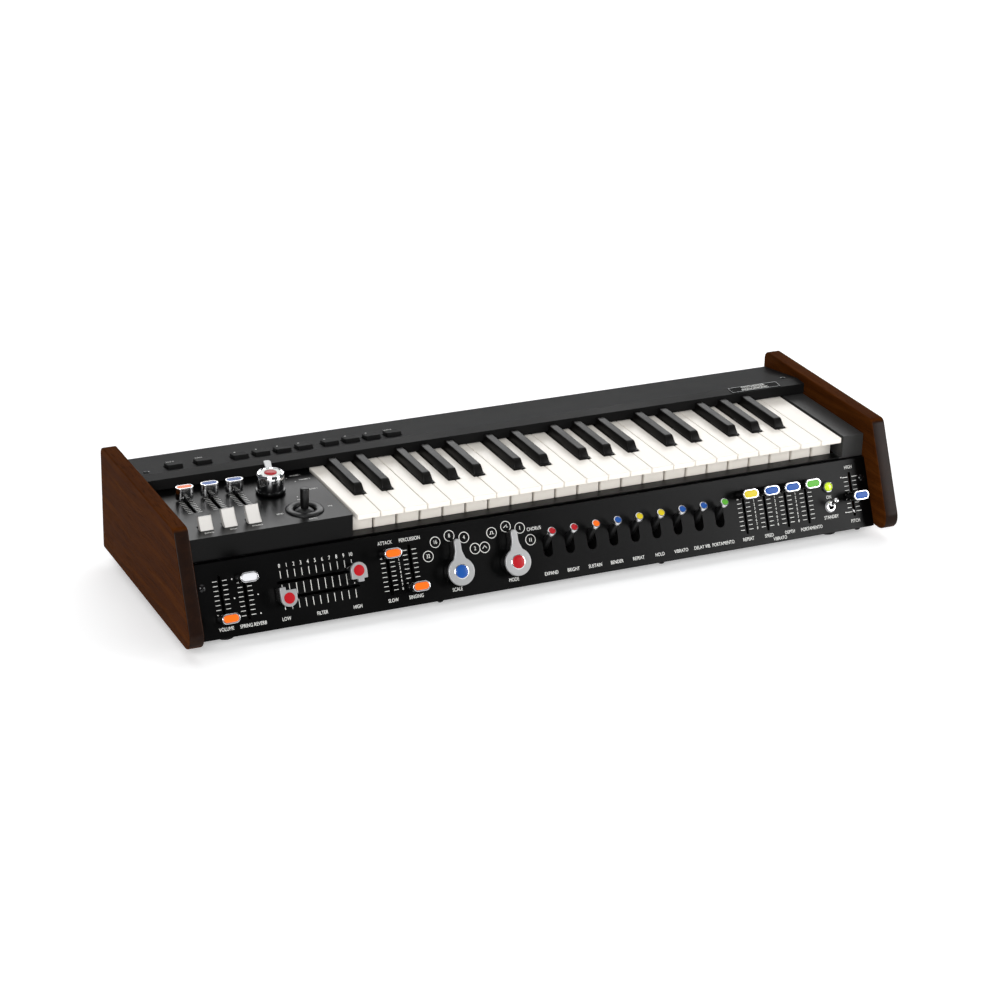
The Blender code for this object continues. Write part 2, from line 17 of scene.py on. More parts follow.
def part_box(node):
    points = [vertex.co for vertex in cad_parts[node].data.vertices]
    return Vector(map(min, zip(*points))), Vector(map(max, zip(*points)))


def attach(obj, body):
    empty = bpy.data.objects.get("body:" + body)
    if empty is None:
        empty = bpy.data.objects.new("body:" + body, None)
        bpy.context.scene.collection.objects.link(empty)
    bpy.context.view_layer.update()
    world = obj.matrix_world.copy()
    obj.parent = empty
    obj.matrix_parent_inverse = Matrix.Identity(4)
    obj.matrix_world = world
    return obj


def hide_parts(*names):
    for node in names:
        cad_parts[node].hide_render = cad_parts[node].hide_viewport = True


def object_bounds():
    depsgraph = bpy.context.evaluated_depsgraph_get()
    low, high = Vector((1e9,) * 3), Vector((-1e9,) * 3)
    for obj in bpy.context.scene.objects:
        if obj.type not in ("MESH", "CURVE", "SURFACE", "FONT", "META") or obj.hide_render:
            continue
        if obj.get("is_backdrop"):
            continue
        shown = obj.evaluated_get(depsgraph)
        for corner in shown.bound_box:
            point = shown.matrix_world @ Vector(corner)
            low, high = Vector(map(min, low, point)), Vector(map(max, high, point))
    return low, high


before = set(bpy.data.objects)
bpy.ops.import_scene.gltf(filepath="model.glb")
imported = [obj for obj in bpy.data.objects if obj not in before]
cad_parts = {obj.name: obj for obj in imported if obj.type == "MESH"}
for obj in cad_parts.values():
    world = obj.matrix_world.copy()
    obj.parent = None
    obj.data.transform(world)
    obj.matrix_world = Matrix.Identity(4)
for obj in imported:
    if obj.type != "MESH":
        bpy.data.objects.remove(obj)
CAD_BOX = [list(corner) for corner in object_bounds()]
MM = 0.001
print("the model fills", [round((b - a) / MM, 1) for a, b in zip(*CAD_BOX)], "mm")

# %% [markdown]
# A maker measures from a datum. The keyboard's datum is the front left corner of the
# playing surface, the front panel's is the middle of its top edge, tilted with the
# panel, and the rear cover's lies on its falling face. Each is an origin with three
# axes. Shapes are given in millimetres at a datum and turned into metres at the end.
# %% Datums


class Datum:
    """An origin in metres and the three axes of a local frame, as the columns of turn.
    world = origin + turn @ (x, y, z) / 1000."""

    def __init__(self, origin, turn=None):
        self.origin = np.array(origin, float)
        self.turn = np.eye(3) if turn is None else np.array(turn, float)

    def world(self, points):
        return self.origin + np.asarray(points, float) @ self.turn.T * MM

    def local(self, points):
        return (np.asarray(points, float) - self.origin) @ self.turn / MM

    def at(self, x, y, z=0.0, turn=None):
        """A datum further on, at a point given here, turned by a matrix."""
        return Datum(self.world((x, y, z)), self.turn if turn is None else self.turn @ turn)


def about(axis, degrees):
    """The 3 x 3 matrix of a turn about one axis."""
    return np.array(Matrix.Rotation(math.radians(degrees), 3, axis))


def vertices(mesh):
    """Every vertex of a mesh, one to a row."""
    points = np.empty(len(mesh.vertices) * 3, np.float32)
    mesh.vertices.foreach_get("co", points)
    return points.reshape(-1, 3)


def local_box(node, where):
    """Lowest and highest corner of a node, measured in millimetres at a datum."""
    points = where.local(vertices(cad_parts[node].data))
    return points.min(0), points.max(0)


first_key, last_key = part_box("key_c3"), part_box("key_c6")
WHITE_KEYS = 22
PITCH = (last_key[0].x - first_key[0].x) / (WHITE_KEYS - 1) / MM
KEY_WIDTH = (first_key[1].x - first_key[0].x) / MM
KEYS = Datum((first_key[0].x - (PITCH - KEY_WIDTH) / 2 * MM, first_key[0].y, first_key[1].z))
PANEL_SLOPE = 65.94
FACE = Datum((KEYS.origin[0], KEYS.world((0, -0.9, 0))[1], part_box("front_panel")[1].z),
             about("X", PANEL_SLOPE))
cover_low, cover_high = local_box("rear_cover", KEYS)
CREASE = 14.2
COVER_FALL = 10.4
ROOF_SLOPE = math.degrees(math.atan2(-COVER_FALL, cover_high[1] + 0.2 - cover_low[1] - CREASE))
ROOF = KEYS.at(0, cover_low[1] + CREASE, cover_high[2], about("X", ROOF_SLOPE))
SIDEWAYS = np.array([[0, 0, 1], [1, 0, 0], [0, 1, 0]])
print(f"key pitch {PITCH:.2f} mm, cover falls {ROOF_SLOPE:.1f} degrees")

# %% [markdown]
# The camera stands high to the left of the instrument and looks along it with a long
# lens, so that the keys hardly converge. It goes first, because it decides which edges
# matter. The floor is a plain pale sheet. A wide lamp hangs above, another stands
# behind for the sheen on the black steel, and a smaller one at the right front makes
# the front panel brighten towards its right end. The strongest stands to the left of
# the camera and gives the keys and the caps most of their light.
# %% Camera


def added(name, data):
    """A new object in the scene, at the origin."""
    thing = bpy.data.objects.new(name, data)
    bpy.context.scene.collection.objects.link(thing)
    return thing


def aimed(name, data, place, target, roll=0.0):
    """A new object at a place, its -Z axis turned towards a target and then rolled."""
    thing = added(name, data)
    turn = (Vector(target) - Vector(place)).to_track_quat("-Z", "Y").to_matrix()
    turn = turn @ Matrix.Rotation(math.radians(roll), 3, "Z")
    thing.matrix_world = Matrix.Translation(place) @ turn.to_4x4()
    return thing


view = bpy.data.cameras.new("view")
view.lens, view.clip_end = 102.69, 50
bpy.context.scene.camera = aimed("view", view, (-1.10307, -2.30663, 1.15301),
                                 (-0.00916, 0.0, 0.05657), 1.487)

# %% Studio


def softbox(name, place, target, width, height, radiance):
    """A rectangular lamp of an even brightness: watts = pi * area * radiance."""
    data = bpy.data.lights.new(name, "AREA")
    data.shape = "RECTANGLE"
    data.size, data.size_y = width, height
    data.energy = math.pi * width * height * radiance
    aimed(name, data, place, target)


softbox("lamp_above", (0.1, 0.2, 2.2), (0, 0, 0), 3.4, 2.4, 0.98)
softbox("lamp_behind", (1.0, 2.4, 1.45), (0, 0, 0.1), 3.4, 1.2, 3.6)
softbox("lamp_right", (1.6, -1.55, 0.7), (0.3, 0, 0.05), 1.0, 0.9, 8.0)
softbox("lamp_front", (-1.6, -2.6, 1.5), (0, 0, 0.05), 1.6, 1.2, 13.0)
world = bpy.data.worlds.new("studio")
world.use_nodes = True
world.node_tree.nodes["Background"].inputs["Color"].default_value = (0.9, 0.95, 1.0, 1)
world.node_tree.nodes["Background"].inputs["Strength"].default_value = 0.12
bpy.context.scene.world = world
bpy.context.scene.view_settings.view_transform = "Standard"

# %% [markdown]
# A finish is a small network of shader nodes. Written as sums and products it reads
# like the formula that it is. Signal wraps one output socket: an expression on signals
# adds Math nodes, and Finish.node adds any other node from its type, its settings and
# what goes into its sockets.
# %% Signals and finishes


class Signal:
    """One output socket that can stand in a sum or a product."""

    def __init__(self, socket):
        self.socket = socket

    def math(self, operation, first, second=0.0):
        return add_node(self.socket.id_data, "ShaderNodeMath", {"operation": operation},
                        {0: first, 1: second})

    def __add__(self, other):
        return self.math("ADD", self, other)

    def __rsub__(self, other):
        return self.math("SUBTRACT", other, self)

    def __mul__(self, other):
        return self.math("MULTIPLY", self, other)

    __radd__ = __add__
    __rmul__ = __mul__


def add_node(tree, kind, settings, sockets, out=0):
    """Adds a node: settings first, a ramp's stops among them, then values or links."""
    node = tree.nodes.new(kind)
    stops = settings.pop("stops", None)
    for name, value in settings.items():
        setattr(node, name, value)
    if stops:
        ramp = node.color_ramp.elements
        while len(ramp) < len(stops):
            ramp.new(0.5)
        for element, (position, colour) in zip(ramp, stops):
            element.position = position
            element.color = (*colour, 1)
    for name, value in sockets.items():
        if isinstance(value, Signal):
            tree.links.new(value.socket, node.inputs[name])
        else:
            node.inputs[name].default_value = value
    return Signal(node.outputs[out])


class Finish:
    """A material on one Principled shader, whose constant values are given by name."""

    def __init__(self, name, **constants):
        self.material = bpy.data.materials.new(name)
        self.material.use_nodes = True
        self.tree = self.material.node_tree
        self.shader = self.tree.nodes["Principled BSDF"]
        for key, value in constants.items():
            self.shader.inputs[key.replace("_", " ")].default_value = value
        self.place = self.node("ShaderNodeTexCoord", {}, {}, "Object")

    def node(self, kind, settings, sockets, out=0):
        return add_node(self.tree, kind, settings, sockets, out)

    def noise(self, scale, detail=2.0, stretch=(1, 1, 1), roughness=0.5, place=None):
        """Soft noise from 0 to 1, whose lumps are about 1/scale metres; stretch squeezes it."""
        place = self.node("ShaderNodeMapping", {}, {"Vector": place or self.place, "Scale": stretch})
        return self.node("ShaderNodeTexNoise", {}, {"Vector": place, "Scale": scale,
                                                    "Detail": detail, "Roughness": roughness})

    def span(self, value, low, high, to_low=0.0, to_high=1.0):
        """Carries low..high onto to_low..to_high and holds it there."""
        return self.node("ShaderNodeMapRange", {}, {"Value": value, "From Min": low, "From Max": high,
                                                    "To Min": to_low, "To Max": to_high})

    def blend(self, factor, first, second):
        """A colour between two colours."""
        return self.node("ShaderNodeMix", {"data_type": "RGBA"}, {0: factor, 6: first, 7: second}, 2)

    def bump(self, height, distance):
        return self.node("ShaderNodeBump", {}, {"Height": height, "Distance": distance, "Strength": 1.0})

    def wire(self, **links):
        for key, signal in links.items():
            self.tree.links.new(signal.socket, self.shader.inputs[key.replace("_", " ")])
        return self.material


def rgb(red, green, blue):
    return (red, green, blue, 1.0)


# %% [markdown]
# The side boards are walnut veneer under satin oil. Veneer has long, nearly straight
# grain: noise squeezed along the board gives the bands, a much finer one the dark open
# pores. A mask on the surface's own direction darkens whatever faces the player to
# almost black, the narrow front edge among them.
# %% Walnut


def walnut(name):
    oil = Finish(name, Specular_IOR_Level=0.002, Coat_Roughness=0.3)
    waver = oil.noise(5.0, 2.0)
    bent = oil.node("ShaderNodeVectorMath", {"operation": "MULTIPLY_ADD"},
                    {0: oil.node("ShaderNodeCombineXYZ", {}, {"Z": waver}), 1: (0, 0, 0.03),
                     2: oil.place})
    bands = oil.noise(5.0, 5.0, (14, 1.1, 26), 0.62, bent)
    pores = oil.noise(2.0, 3.0, (420, 26, 900), place=bent)
    wood = oil.node("ShaderNodeValToRGB", {"stops": [(0.25, (0.032, 0.0082, 0.0016)),
                                                     (0.48, (0.052, 0.0140, 0.0024)),
                                                     (0.62, (0.068, 0.0195, 0.0034)),
                                                     (0.8, (0.086, 0.0280, 0.0060))]}, {"Fac": bands})
    open_pore = oil.span(pores, 0.56, 0.68)
    veined = oil.blend(open_pore * 0.55, wood, rgb(0.014, 0.005, 0.002))
    normal = oil.node("ShaderNodeNewGeometry", {}, {}, "Normal")
    facing = oil.node("ShaderNodeSeparateXYZ", {}, {0: normal}, 1)
    front = oil.span(facing, -0.55, -0.85)
    colour = oil.blend(front * 0.86, veined, rgb(0.0045, 0.0033, 0.0030))
    sheen = oil.span(bands, 0.3, 0.7, 0.34, 0.46) + open_pore * 0.12
    return oil.wire(Base_Color=colour, Roughness=sheen, Coat_Weight=front * 0.16,
                    Normal=oil.bump(0.0 - open_pore + bands * 0.4, 0.00012))


# %% [markdown]
# Black steel is powder coated. At arm's length it is plain satin black, but the coat
# has a fine pebble and the sheen is slightly uneven. Both come from noise: a small one
# in the bump, a broad one in the roughness. The rear cover is the same coat with a
# coarser pebble and a greyer colour.
# %% Painted steel


def painted_steel(name, colour, sheen, pebble, depth, specular):
    coat = Finish(name, Specular_IOR_Level=specular)
    grain = coat.noise(pebble, 2.0)
    cloud = coat.noise(9.0, 3.0)
    fleck = coat.span(coat.noise(pebble * 0.6, 1.0), 0.66, 0.74)
    dark, light = rgb(*colour), rgb(*(c * 1.9 + 0.0005 for c in colour))
    tone = coat.blend(coat.span(cloud, 0.3, 0.7, 0.0, 0.35) + fleck * 0.25, dark, light)
    return coat.wire(Base_Color=tone, Normal=coat.bump(grain, depth),
                     Roughness=coat.span(cloud, 0.3, 0.7, sheen - 0.04, sheen + 0.05) + fleck * 0.05)


# %% [markdown]
# Moulded plastics share one recipe: a colour that drifts a little, a faint texture
# from the mould, and a gloss that handling has made slightly uneven. Only the numbers
# differ between ivory keys, black keys, coloured inserts and rubber buttons.
# %% Moulded plastic


def moulded(name, colour, gloss, texture=900.0, depth=0.00001, drift=0.06, uneven=0.04,
            specular=0.5, **constants):
    body = Finish(name, Specular_IOR_Level=specular, **constants)
    cloud = body.noise(24.0, 3.0)
    grain = body.noise(texture, 2.0)
    low = rgb(*(c * (1 - drift) for c in colour))
    high = rgb(*(min(1.0, c * (1 + drift)) for c in colour))
    tone = body.blend(body.span(cloud, 0.3, 0.7), low, high)
    return body.wire(Base_Color=tone, Normal=body.bump(grain, depth),
                     Roughness=body.span(cloud, 0.3, 0.7, gloss - uneven, gloss + uneven) + grain * 0.02)


# %% [markdown]
# Plated metal is nearly a mirror. What keeps it from looking computed is a very faint
# waviness and hairlines that raise the roughness here and there.
# %% Plated metal


def plated(name, colour, gloss, wave=0.000004, metallic=1.0):
    plate = Finish(name, Metallic=metallic)
    hairline = plate.span(plate.noise(60.0, 4.0, (1, 30, 1)), 0.5, 0.75)
    tone = plate.blend(hairline * 0.3, rgb(*colour), rgb(*(c * 0.86 for c in colour)))
    return plate.wire(Base_Color=tone, Roughness=hairline * 0.1 + gloss,
                      Normal=plate.bump(plate.noise(220.0, 1.0), wave))


# %% Every finish on the instrument
WALNUT = walnut("walnut_veneer")
STEEL = painted_steel("black_coat", (0.0004, 0.0004, 0.00042), 0.3, 1500.0, 0.000010, 0.125)
CHARCOAL = painted_steel("charcoal_coat", (0.0065, 0.0064, 0.0064), 0.42, 1100.0, 0.00003, 0.036)
IVORY = moulded("ivory_keys", (0.80, 0.755, 0.69), 0.3, 700.0, 0.000004, 0.006, 0.008)
EBONY = moulded("ebony_keys", (0.0030, 0.0026, 0.0023), 0.36, 1800.0, 0.000010, 0.2, specular=0.15)
CHROME = plated("chrome_plate", (0.80, 0.80, 0.81), 0.07)
RIM = plated("cap_rim_plate", (0.74, 0.74, 0.75), 0.2)
PLATE = plated("knob_plate", (0.37, 0.37, 0.373), 0.36, 0.000008, 0.55)
GLOSS_BLACK = moulded("gloss_black", (0.003,) * 3, 0.14, 300.0, 0.000004, 0.2, specular=0.35)
BLACK = moulded("control_black", (0.0032,) * 3, 0.34, 1500.0, 0.000012, 0.2, specular=0.3)
RUBBER = moulded("button_rubber", (0.0035,) * 3, 0.55, 1600.0, 0.00003, 0.2, specular=0.08)
NAME_BLACK = moulded("name_plate_black", (0.0015,) * 3, 0.5, 900.0, 0.00001, 0.2, specular=0.02)
WHITE = moulded("white_plastic", (0.64, 0.62, 0.59), 0.3, 900.0, 0.000008, 0.02)
SMOKE = moulded("smoked_pointer", (0.30, 0.31, 0.31), 0.22, 600.0, 0.000006, 0.05)
BLOCK = painted_steel("end_block_coat", (0.020, 0.020, 0.0197), 0.5, 1300.0, 0.00003, 0.4)
DISH = moulded("knob_dish", (0.52, 0.56, 0.53), 0.25, 600.0, 0.000006, 0.03)
INK = moulded("legend_ink", (0.74, 0.74, 0.71), 0.5, 2500.0, 0.000004, 0.04)
COLOURS = {
    "orange": (0.84, 0.135, 0.006), "white": (0.64, 0.64, 0.66), "red": (0.36, 0.005, 0.010),
    "blue": (0.008, 0.068, 0.29), "yellow": (0.58, 0.46, 0.010), "green": (0.085, 0.34, 0.03),
}
ENAMEL = {name: moulded(f"{name}_insert", colour, 0.3, 800.0, 0.000006, 0.05, specular=0.25)
          for name, colour in COLOURS.items()}
LENS = moulded("lamp_lens", (0.52, 0.68, 0.02), 0.08, 400.0, 0.000004, 0.08,
               Emission_Color=(0.55, 0.75, 0.02, 1), Emission_Strength=0.25, Coat_Weight=0.6)
print(len(bpy.data.materials), "materials in all")

# %% [markdown]
# Nearly every piece here is a stack of outlines: a closed curve is drawn at one height
# after another, shrunk a little where an edge is rounded, and a skin is laid over them.
# An outline is an array of points, so shrinking it is one line of arithmetic: each
# point moves along the mean of its two edge normals, lengthened to keep the edges
# parallel.
# %% Outlines


def rounded(corners, radii, steps=5):
    """An anticlockwise polygon with its corners rounded. Each corner becomes an arc whose
    centre lies on the bisector, at radius / sin(half the corner's angle)."""
    here = np.array(corners, float)
    radii = np.broadcast_to(radii, len(here))[:, None]
    back, ahead = np.roll(here, 1, 0) - here, np.roll(here, -1, 0) - here
    back /= np.linalg.norm(back, axis=1, keepdims=True)
    ahead /= np.linalg.norm(ahead, axis=1, keepdims=True)
    half = np.arccos(np.clip((back * ahead).sum(1, keepdims=True), -1, 1)) / 2
    middle = back + ahead
    middle /= np.linalg.norm(middle, axis=1, keepdims=True)
    centre = here + middle * radii / np.sin(half)
    start = here + back * radii / np.tan(half) - centre
    end = here + ahead * radii / np.tan(half) - centre
    first = np.arctan2(start[:, 1], start[:, 0])[:, None]
    sweep = np.arctan2(end[:, 1], end[:, 0])[:, None] - first
    sweep = (sweep + np.pi) % (2 * np.pi) - np.pi
    angle = first + sweep * np.linspace(0, 1, steps + 1)
    arcs = centre[:, None, :] + radii[:, :, None] * np.stack([np.cos(angle), np.sin(angle)], -1)
    return arcs.reshape(-1, 2)


def oblong(width, depth, radius, steps=5, centre=(0, 0)):
    """A rounded rectangle about a centre."""
    x, y = width / 2, depth / 2
    return rounded([(-x, -y), (x, -y), (x, y), (-x, y)], radius, steps) + centre


def racetrack(length, width, sides=40):
    """A slot outline: a circle whose two halves are pulled apart along X."""
    angle = (np.arange(sides) + 0.5) * 2 * np.pi / sides
    pull = (length - width) / 2 * np.sign(np.cos(angle))
    return np.stack([width / 2 * np.cos(angle) + pull, width / 2 * np.sin(angle)], -1)


def inset(outline, distance):
    """The outline moved inwards. A point moves along (n1 + n2) / (1 + n1 . n2), where n1
    and n2 are the inward normals of the edges that meet there."""
    edge = np.roll(outline, -1, 0) - outline
    edge /= np.linalg.norm(edge, axis=1, keepdims=True)
    after = np.stack([-edge[:, 1], edge[:, 0]], -1)
    before = np.roll(after, 1, 0)
    shift = (before + after) / (1 + (before * after).sum(1, keepdims=True))
    return outline + distance * shift


# %% [markdown]
# The second half of the idea is the list of layers. A layer says how far the outline
# is shrunk and how high it lies, so a rounded edge is a quarter circle of layers. One
# more layer just inside keeps the flat top truly flat when it is shaded.
# %% Layers and skins


def quarter(radius, height, steps=3, rising=True):
    """Layers of a rounded edge. Rising, it curls in towards a top at that height."""
    angle = np.linspace(0, np.pi / 2, steps + 1)
    if rising:
        return np.stack([radius * (1 - np.cos(angle)), height - radius * (1 - np.sin(angle))], -1)
    return np.stack([radius * (1 - np.sin(angle)), height + radius * (1 - np.cos(angle))], -1)


def slab(low, high, top=0.5, bottom=0.2, steps=3):
    """Layers of a plain block with rounded top and bottom edges."""
    flat = 0.25
    return np.concatenate([[(bottom + flat, low)], quarter(bottom, low, steps, False),
                           quarter(top, high, steps), [(top + flat, high)]])


def stack(outline, layers):
    """Rings: the outline shrunk by each layer's first value, at its second as height."""
    return np.array([np.column_stack([inset(outline, shrink), np.full(len(outline), height)])
                     for shrink, height in layers])


def turned(profile, sides=48):
    """Rings of a turned shape: each (radius, height) of the profile goes round once."""
    radius, height = np.array(profile, float).T[..., None]
    angle = np.arange(sides) * 2 * np.pi / sides
    x = radius * np.cos(angle)
    return np.stack([x, radius * np.sin(angle), np.broadcast_to(height, x.shape)], -1)


def skin(rings, finish, where, closed=False):
    """A closed surface through the rings: quads from ring to ring, and a flat end at
    both, or the last ring joined to the first where the shape is itself a ring."""
    rings = np.asarray(rings, float)
    count, around = rings.shape[:2]
    index = np.arange(count * around).reshape(count, around)
    if closed:
        index = np.concatenate([index, index[:1]])
    beside = np.roll(index, -1, axis=1)
    faces = np.stack([index[:-1], beside[:-1], beside[1:], index[1:]], -1).reshape(-1, 4).tolist()
    if not closed:
        faces += [index[0, ::-1].tolist(), index[-1].tolist()]
    return where.world(rings.reshape(-1, 3)), faces, finish


def lathe(profile, finish, where, sides=48, closed=False):
    """The skin of a turned shape."""
    return skin(turned(profile, sides), finish, where, closed)


def block(outline, low, high, finish, where, top=0.5, bottom=0.2, steps=3):
    """The skin of a slab over an outline."""
    return skin(stack(outline, slab(low, high, top, bottom, steps)), finish, where)


def make(name, body, shells, replaces=(), sharp=38):
    """One piece from several closed skins. It rides on a body of the frame."""
    starts = np.cumsum([0] + [len(points) for points, _, _ in shells])
    points = np.concatenate([shell[0] for shell in shells])
    faces = [[start + k for k in face] for start, shell in zip(starts, shells) for face in shell[1]]
    finishes = list(dict.fromkeys(shell[2] for shell in shells))
    owner = np.repeat([finishes.index(shell[2]) for shell in shells], [len(s[1]) for s in shells])
    mesh = bpy.data.meshes.new(name)
    mesh.from_pydata(points.tolist(), [], faces)
    for finish in finishes:
        mesh.materials.append(finish)
    mesh.polygons.foreach_set("material_index", owner.astype(np.int32))
    tidy = bmesh.new()
    tidy.from_mesh(mesh)
    bmesh.ops.remove_doubles(tidy, verts=tidy.verts, dist=1e-6)
    bmesh.ops.recalc_face_normals(tidy, faces=tidy.faces)
    tidy.to_mesh(mesh)
    tidy.free()
    mesh.shade_smooth()
    mesh.set_sharp_from_angle(angle=math.radians(sharp))
    piece = added(name, mesh)
    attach(piece, body)
    if replaces:
        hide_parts(*replaces)


# %% [markdown]
# Folded sheet metal keeps the solid model's exact shape, slots and holes included. A
# copy gets its loose triangles welded and its flats cleaned up, then a small Bevel: a
# real fold or punched edge is never perfectly sharp, and its thin highlight is what
# makes a black part readable.
# %% Sheet metal
FOLD = math.radians(30)


def refined(name, node, finish, edge, body="case"):
    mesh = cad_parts[node].data.copy()
    mesh.name = name
    work = bmesh.new()
    work.from_mesh(mesh)
    bmesh.ops.remove_doubles(work, verts=work.verts, dist=2e-6)
    bmesh.ops.dissolve_limit(work, angle_limit=math.radians(0.5), verts=work.verts, edges=work.edges)
    work.to_mesh(mesh)
    work.free()
    mesh.materials.clear()
    mesh.materials.append(finish)
    mesh.shade_smooth()
    mesh.set_sharp_from_angle(angle=FOLD)
    piece = added(name, mesh)
    bevel = piece.modifiers.new("Bevel", "BEVEL")
    bevel.width = edge * MM
    bevel.segments = 3
    bevel.limit_method = "ANGLE"
    bevel.angle_limit = FOLD
    bevel.harden_normals = True
    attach(piece, body)
    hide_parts(node)
    return piece


refined("folded_front_panel", "front_panel", STEEL, 0.35)
housing = refined("control_housing", "keyboard_surround", STEEL, 0.45)
refined("folded_rear_cover", "rear_cover", CHARCOAL, 0.45)
refined("bottom_tray", "chassis", STEEL, 0.4)

# %% [markdown]
# The block at the right end of the keys belongs to the same housing, but it is coated
# with a coarser, greyer texture. A cut across the housing divides the faces that run
# through, and then each face is told by where its middle lies.
# %% End block
housing.data.materials.append(BLOCK)
block_edge = KEYS.world((WHITE_KEYS * PITCH + 0.2, 0, 0))
work = bmesh.new()
work.from_mesh(housing.data)
bmesh.ops.bisect_plane(work, geom=[*work.verts, *work.edges, *work.faces], plane_co=block_edge,
                       plane_no=(1, 0, 0))
work.to_mesh(housing.data)
work.free()
middles = np.empty(len(housing.data.polygons) * 3, np.float32)
housing.data.polygons.foreach_get("center", middles)
at_the_end = middles[::3] > block_edge[0]
housing.data.polygons.foreach_set("material_index", at_the_end.astype(np.int32))
print(at_the_end.sum(), "faces of the housing belong to the end block")

# %% [markdown]
# The side boards are cut from one outline: upright at the back, level on top, and
# sloping forward to a rounded toe. The outline lies in the plane of the board, so its
# stack of layers runs across the instrument.
# %% Side boards
BACK = local_box("left_side_panel", KEYS)[1][1]
BOARD_BACK, BOARD_TOP, BOARD_BOTTOM = BACK + 2.8, 19.0, -86.5
BROW, TOE = -9.3, -56.3
board = rounded([(BOARD_BACK, BOARD_BOTTOM), (BOARD_BACK, BOARD_TOP), (BROW, BOARD_TOP),
                 (TOE, BOARD_BOTTOM)], [3, 8, 7, 13], 10)
for side in ("left", "right"):
    low, high = local_box(f"{side}_side_panel", KEYS)
    across = KEYS.at(0, 0, 0, SIDEWAYS)
    shell = block(board, low[0], high[0], WALNUT, across, 1.1, 1.1, 4)
    make(f"{side}_board", "case", [shell], [f"{side}_side_panel"])

# %% [markdown]
# A white key is a thin playing plate with a lip that overhangs a narrower skirt. The
# plate's outline is notched beside each black key. Its front corners are rounded more
# than its long edges. All 22 keys come from one function, which asks the layout of the
# black keys how wide the plate is behind the notches.
# %% White keys
NOTES = "cdefgab"
SHARPS = {"c": -2.2, "d": 2.2, "f": -2.8, "g": 0.0, "a": 2.8}
SHARP_BASE, NOTCH_FRONT, PLATE_THICK, PLATE_BACK = 11.2, 44.0, 5.1, 124.0
KEY_GAP, NOTCH_GAP = 0.3, 0.9


def sharp_centre(index):
    """Middle of the black key at the right edge of a white key, or None."""
    note = NOTES[index % 7]
    if note not in SHARPS or index >= WHITE_KEYS - 1:
        return None
    return (index + 1) * PITCH + SHARPS[note]


def white_key(index):
    left, right = index * PITCH + KEY_GAP, (index + 1) * PITCH - KEY_GAP
    low_sharp = sharp_centre(index - 1) if index else None
    high_sharp = sharp_centre(index)
    half = SHARP_BASE / 2 + NOTCH_GAP
    corners, radii = [(left, 0), (right, 0)], [1.4, 1.4]
    if high_sharp:
        corners += [(right, NOTCH_FRONT), (high_sharp - half, NOTCH_FRONT)]
        radii += [1.1, 0.6]
    rear_right = high_sharp - half if high_sharp else right
    rear_left = low_sharp + half if low_sharp else left
    corners += [(rear_right, PLATE_BACK), (rear_left, PLATE_BACK)]
    radii += [1.1, 1.1]
    if low_sharp:
        corners += [(low_sharp + half, NOTCH_FRONT), (left, NOTCH_FRONT)]
        radii += [0.6, 1.1]
    plate = stack(rounded(corners, radii, 4), slab(-PLATE_THICK, 0, 0.7, 0.35))
    middle = (left + right) / 2
    skirt = stack(oblong(21.5, 5.4, 1.0, 3, (middle, 21.0)), slab(-24.8, -4.6, 0.1, 0.5))
    web = stack(oblong(20.4, 3.4, 0.8, 3, (middle, 18.4)), slab(-8.5, -4.7, 0.1, 0.4))
    name = f"{NOTES[index % 7]}{index // 7 + 3}"
    make(f"white_key_{name}", f"key_{name}", [skin(part, IVORY, KEYS) for part in (plate, skirt, web)],
         [f"key_{name}"])


for index in range(WHITE_KEYS):
    white_key(index)
print(WHITE_KEYS, "white keys")

# %% [markdown]
# A black key is a tapered bar: wide at its foot, narrower on top, with a raked front.
# Every ring of its stack is a rounded rectangle whose width and front edge move with
# height, and the last few curl in to make the worn top edge. A thin flared foot keeps
# the bar from looking cut off at the plates.
# %% Black keys
SHARP_FRONT, SHARP_BACK, SHARP_TOP, SHARP_HEIGHT, RAKE = 45.2, 119.8, 8.4, 8.5, 7.5


def bar_ring(centre, height, shrink):
    """One ring: share = height / full height moves the width and the front linearly."""
    share = np.clip(height / SHARP_HEIGHT, 0, 1)
    width = SHARP_BASE + (SHARP_TOP - SHARP_BASE) * share - 2 * shrink
    front = SHARP_FRONT + RAKE * share + shrink * 1.3
    length = SHARP_BACK - front
    outline = oblong(width, length, max(1.3 - shrink * 0.8, 0.25), 4, (centre, front + length / 2))
    return np.column_stack([outline, np.full(len(outline), height)])


def black_key(index, centre):
    name = f"{NOTES[index % 7]}sharp{index // 7 + 3}"
    edge = quarter(1.15, SHARP_HEIGHT, 4)
    layers = [(0.0, -12.0), (0.0, -2.0), *edge.tolist(), (1.5, SHARP_HEIGHT)]
    bar = np.array([bar_ring(centre, height, shrink) for shrink, height in layers])
    foot = stack(oblong(SHARP_BASE + 0.7, 40, 1.6, 4, (centre, SHARP_FRONT + 19.4)),
                 slab(-3.0, 0.9, 0.5, 0.2))
    make(f"black_key_{name}", f"key_{name}", [skin(part, EBONY, KEYS) for part in (bar, foot)],
         [f"key_{name}"])


for index in range(WHITE_KEYS):
    if sharp_centre(index):
        black_key(index, sharp_centre(index))

# %% [markdown]
# A fader cap is a dark racetrack body with a plated rim on top and a coloured insert
# let into the rim. The rim's layers climb the outside, cross the narrow top and go down
# again into the recess; the insert is a second skin with a slightly crowned top.
# %% Fader caps
CAP_PITCH, CAP_BASE, CAP_SKIRT, CAP_RIM = 18.4, 2.0, 2.6, 1.15
CAP = racetrack(17.2, 9.4)


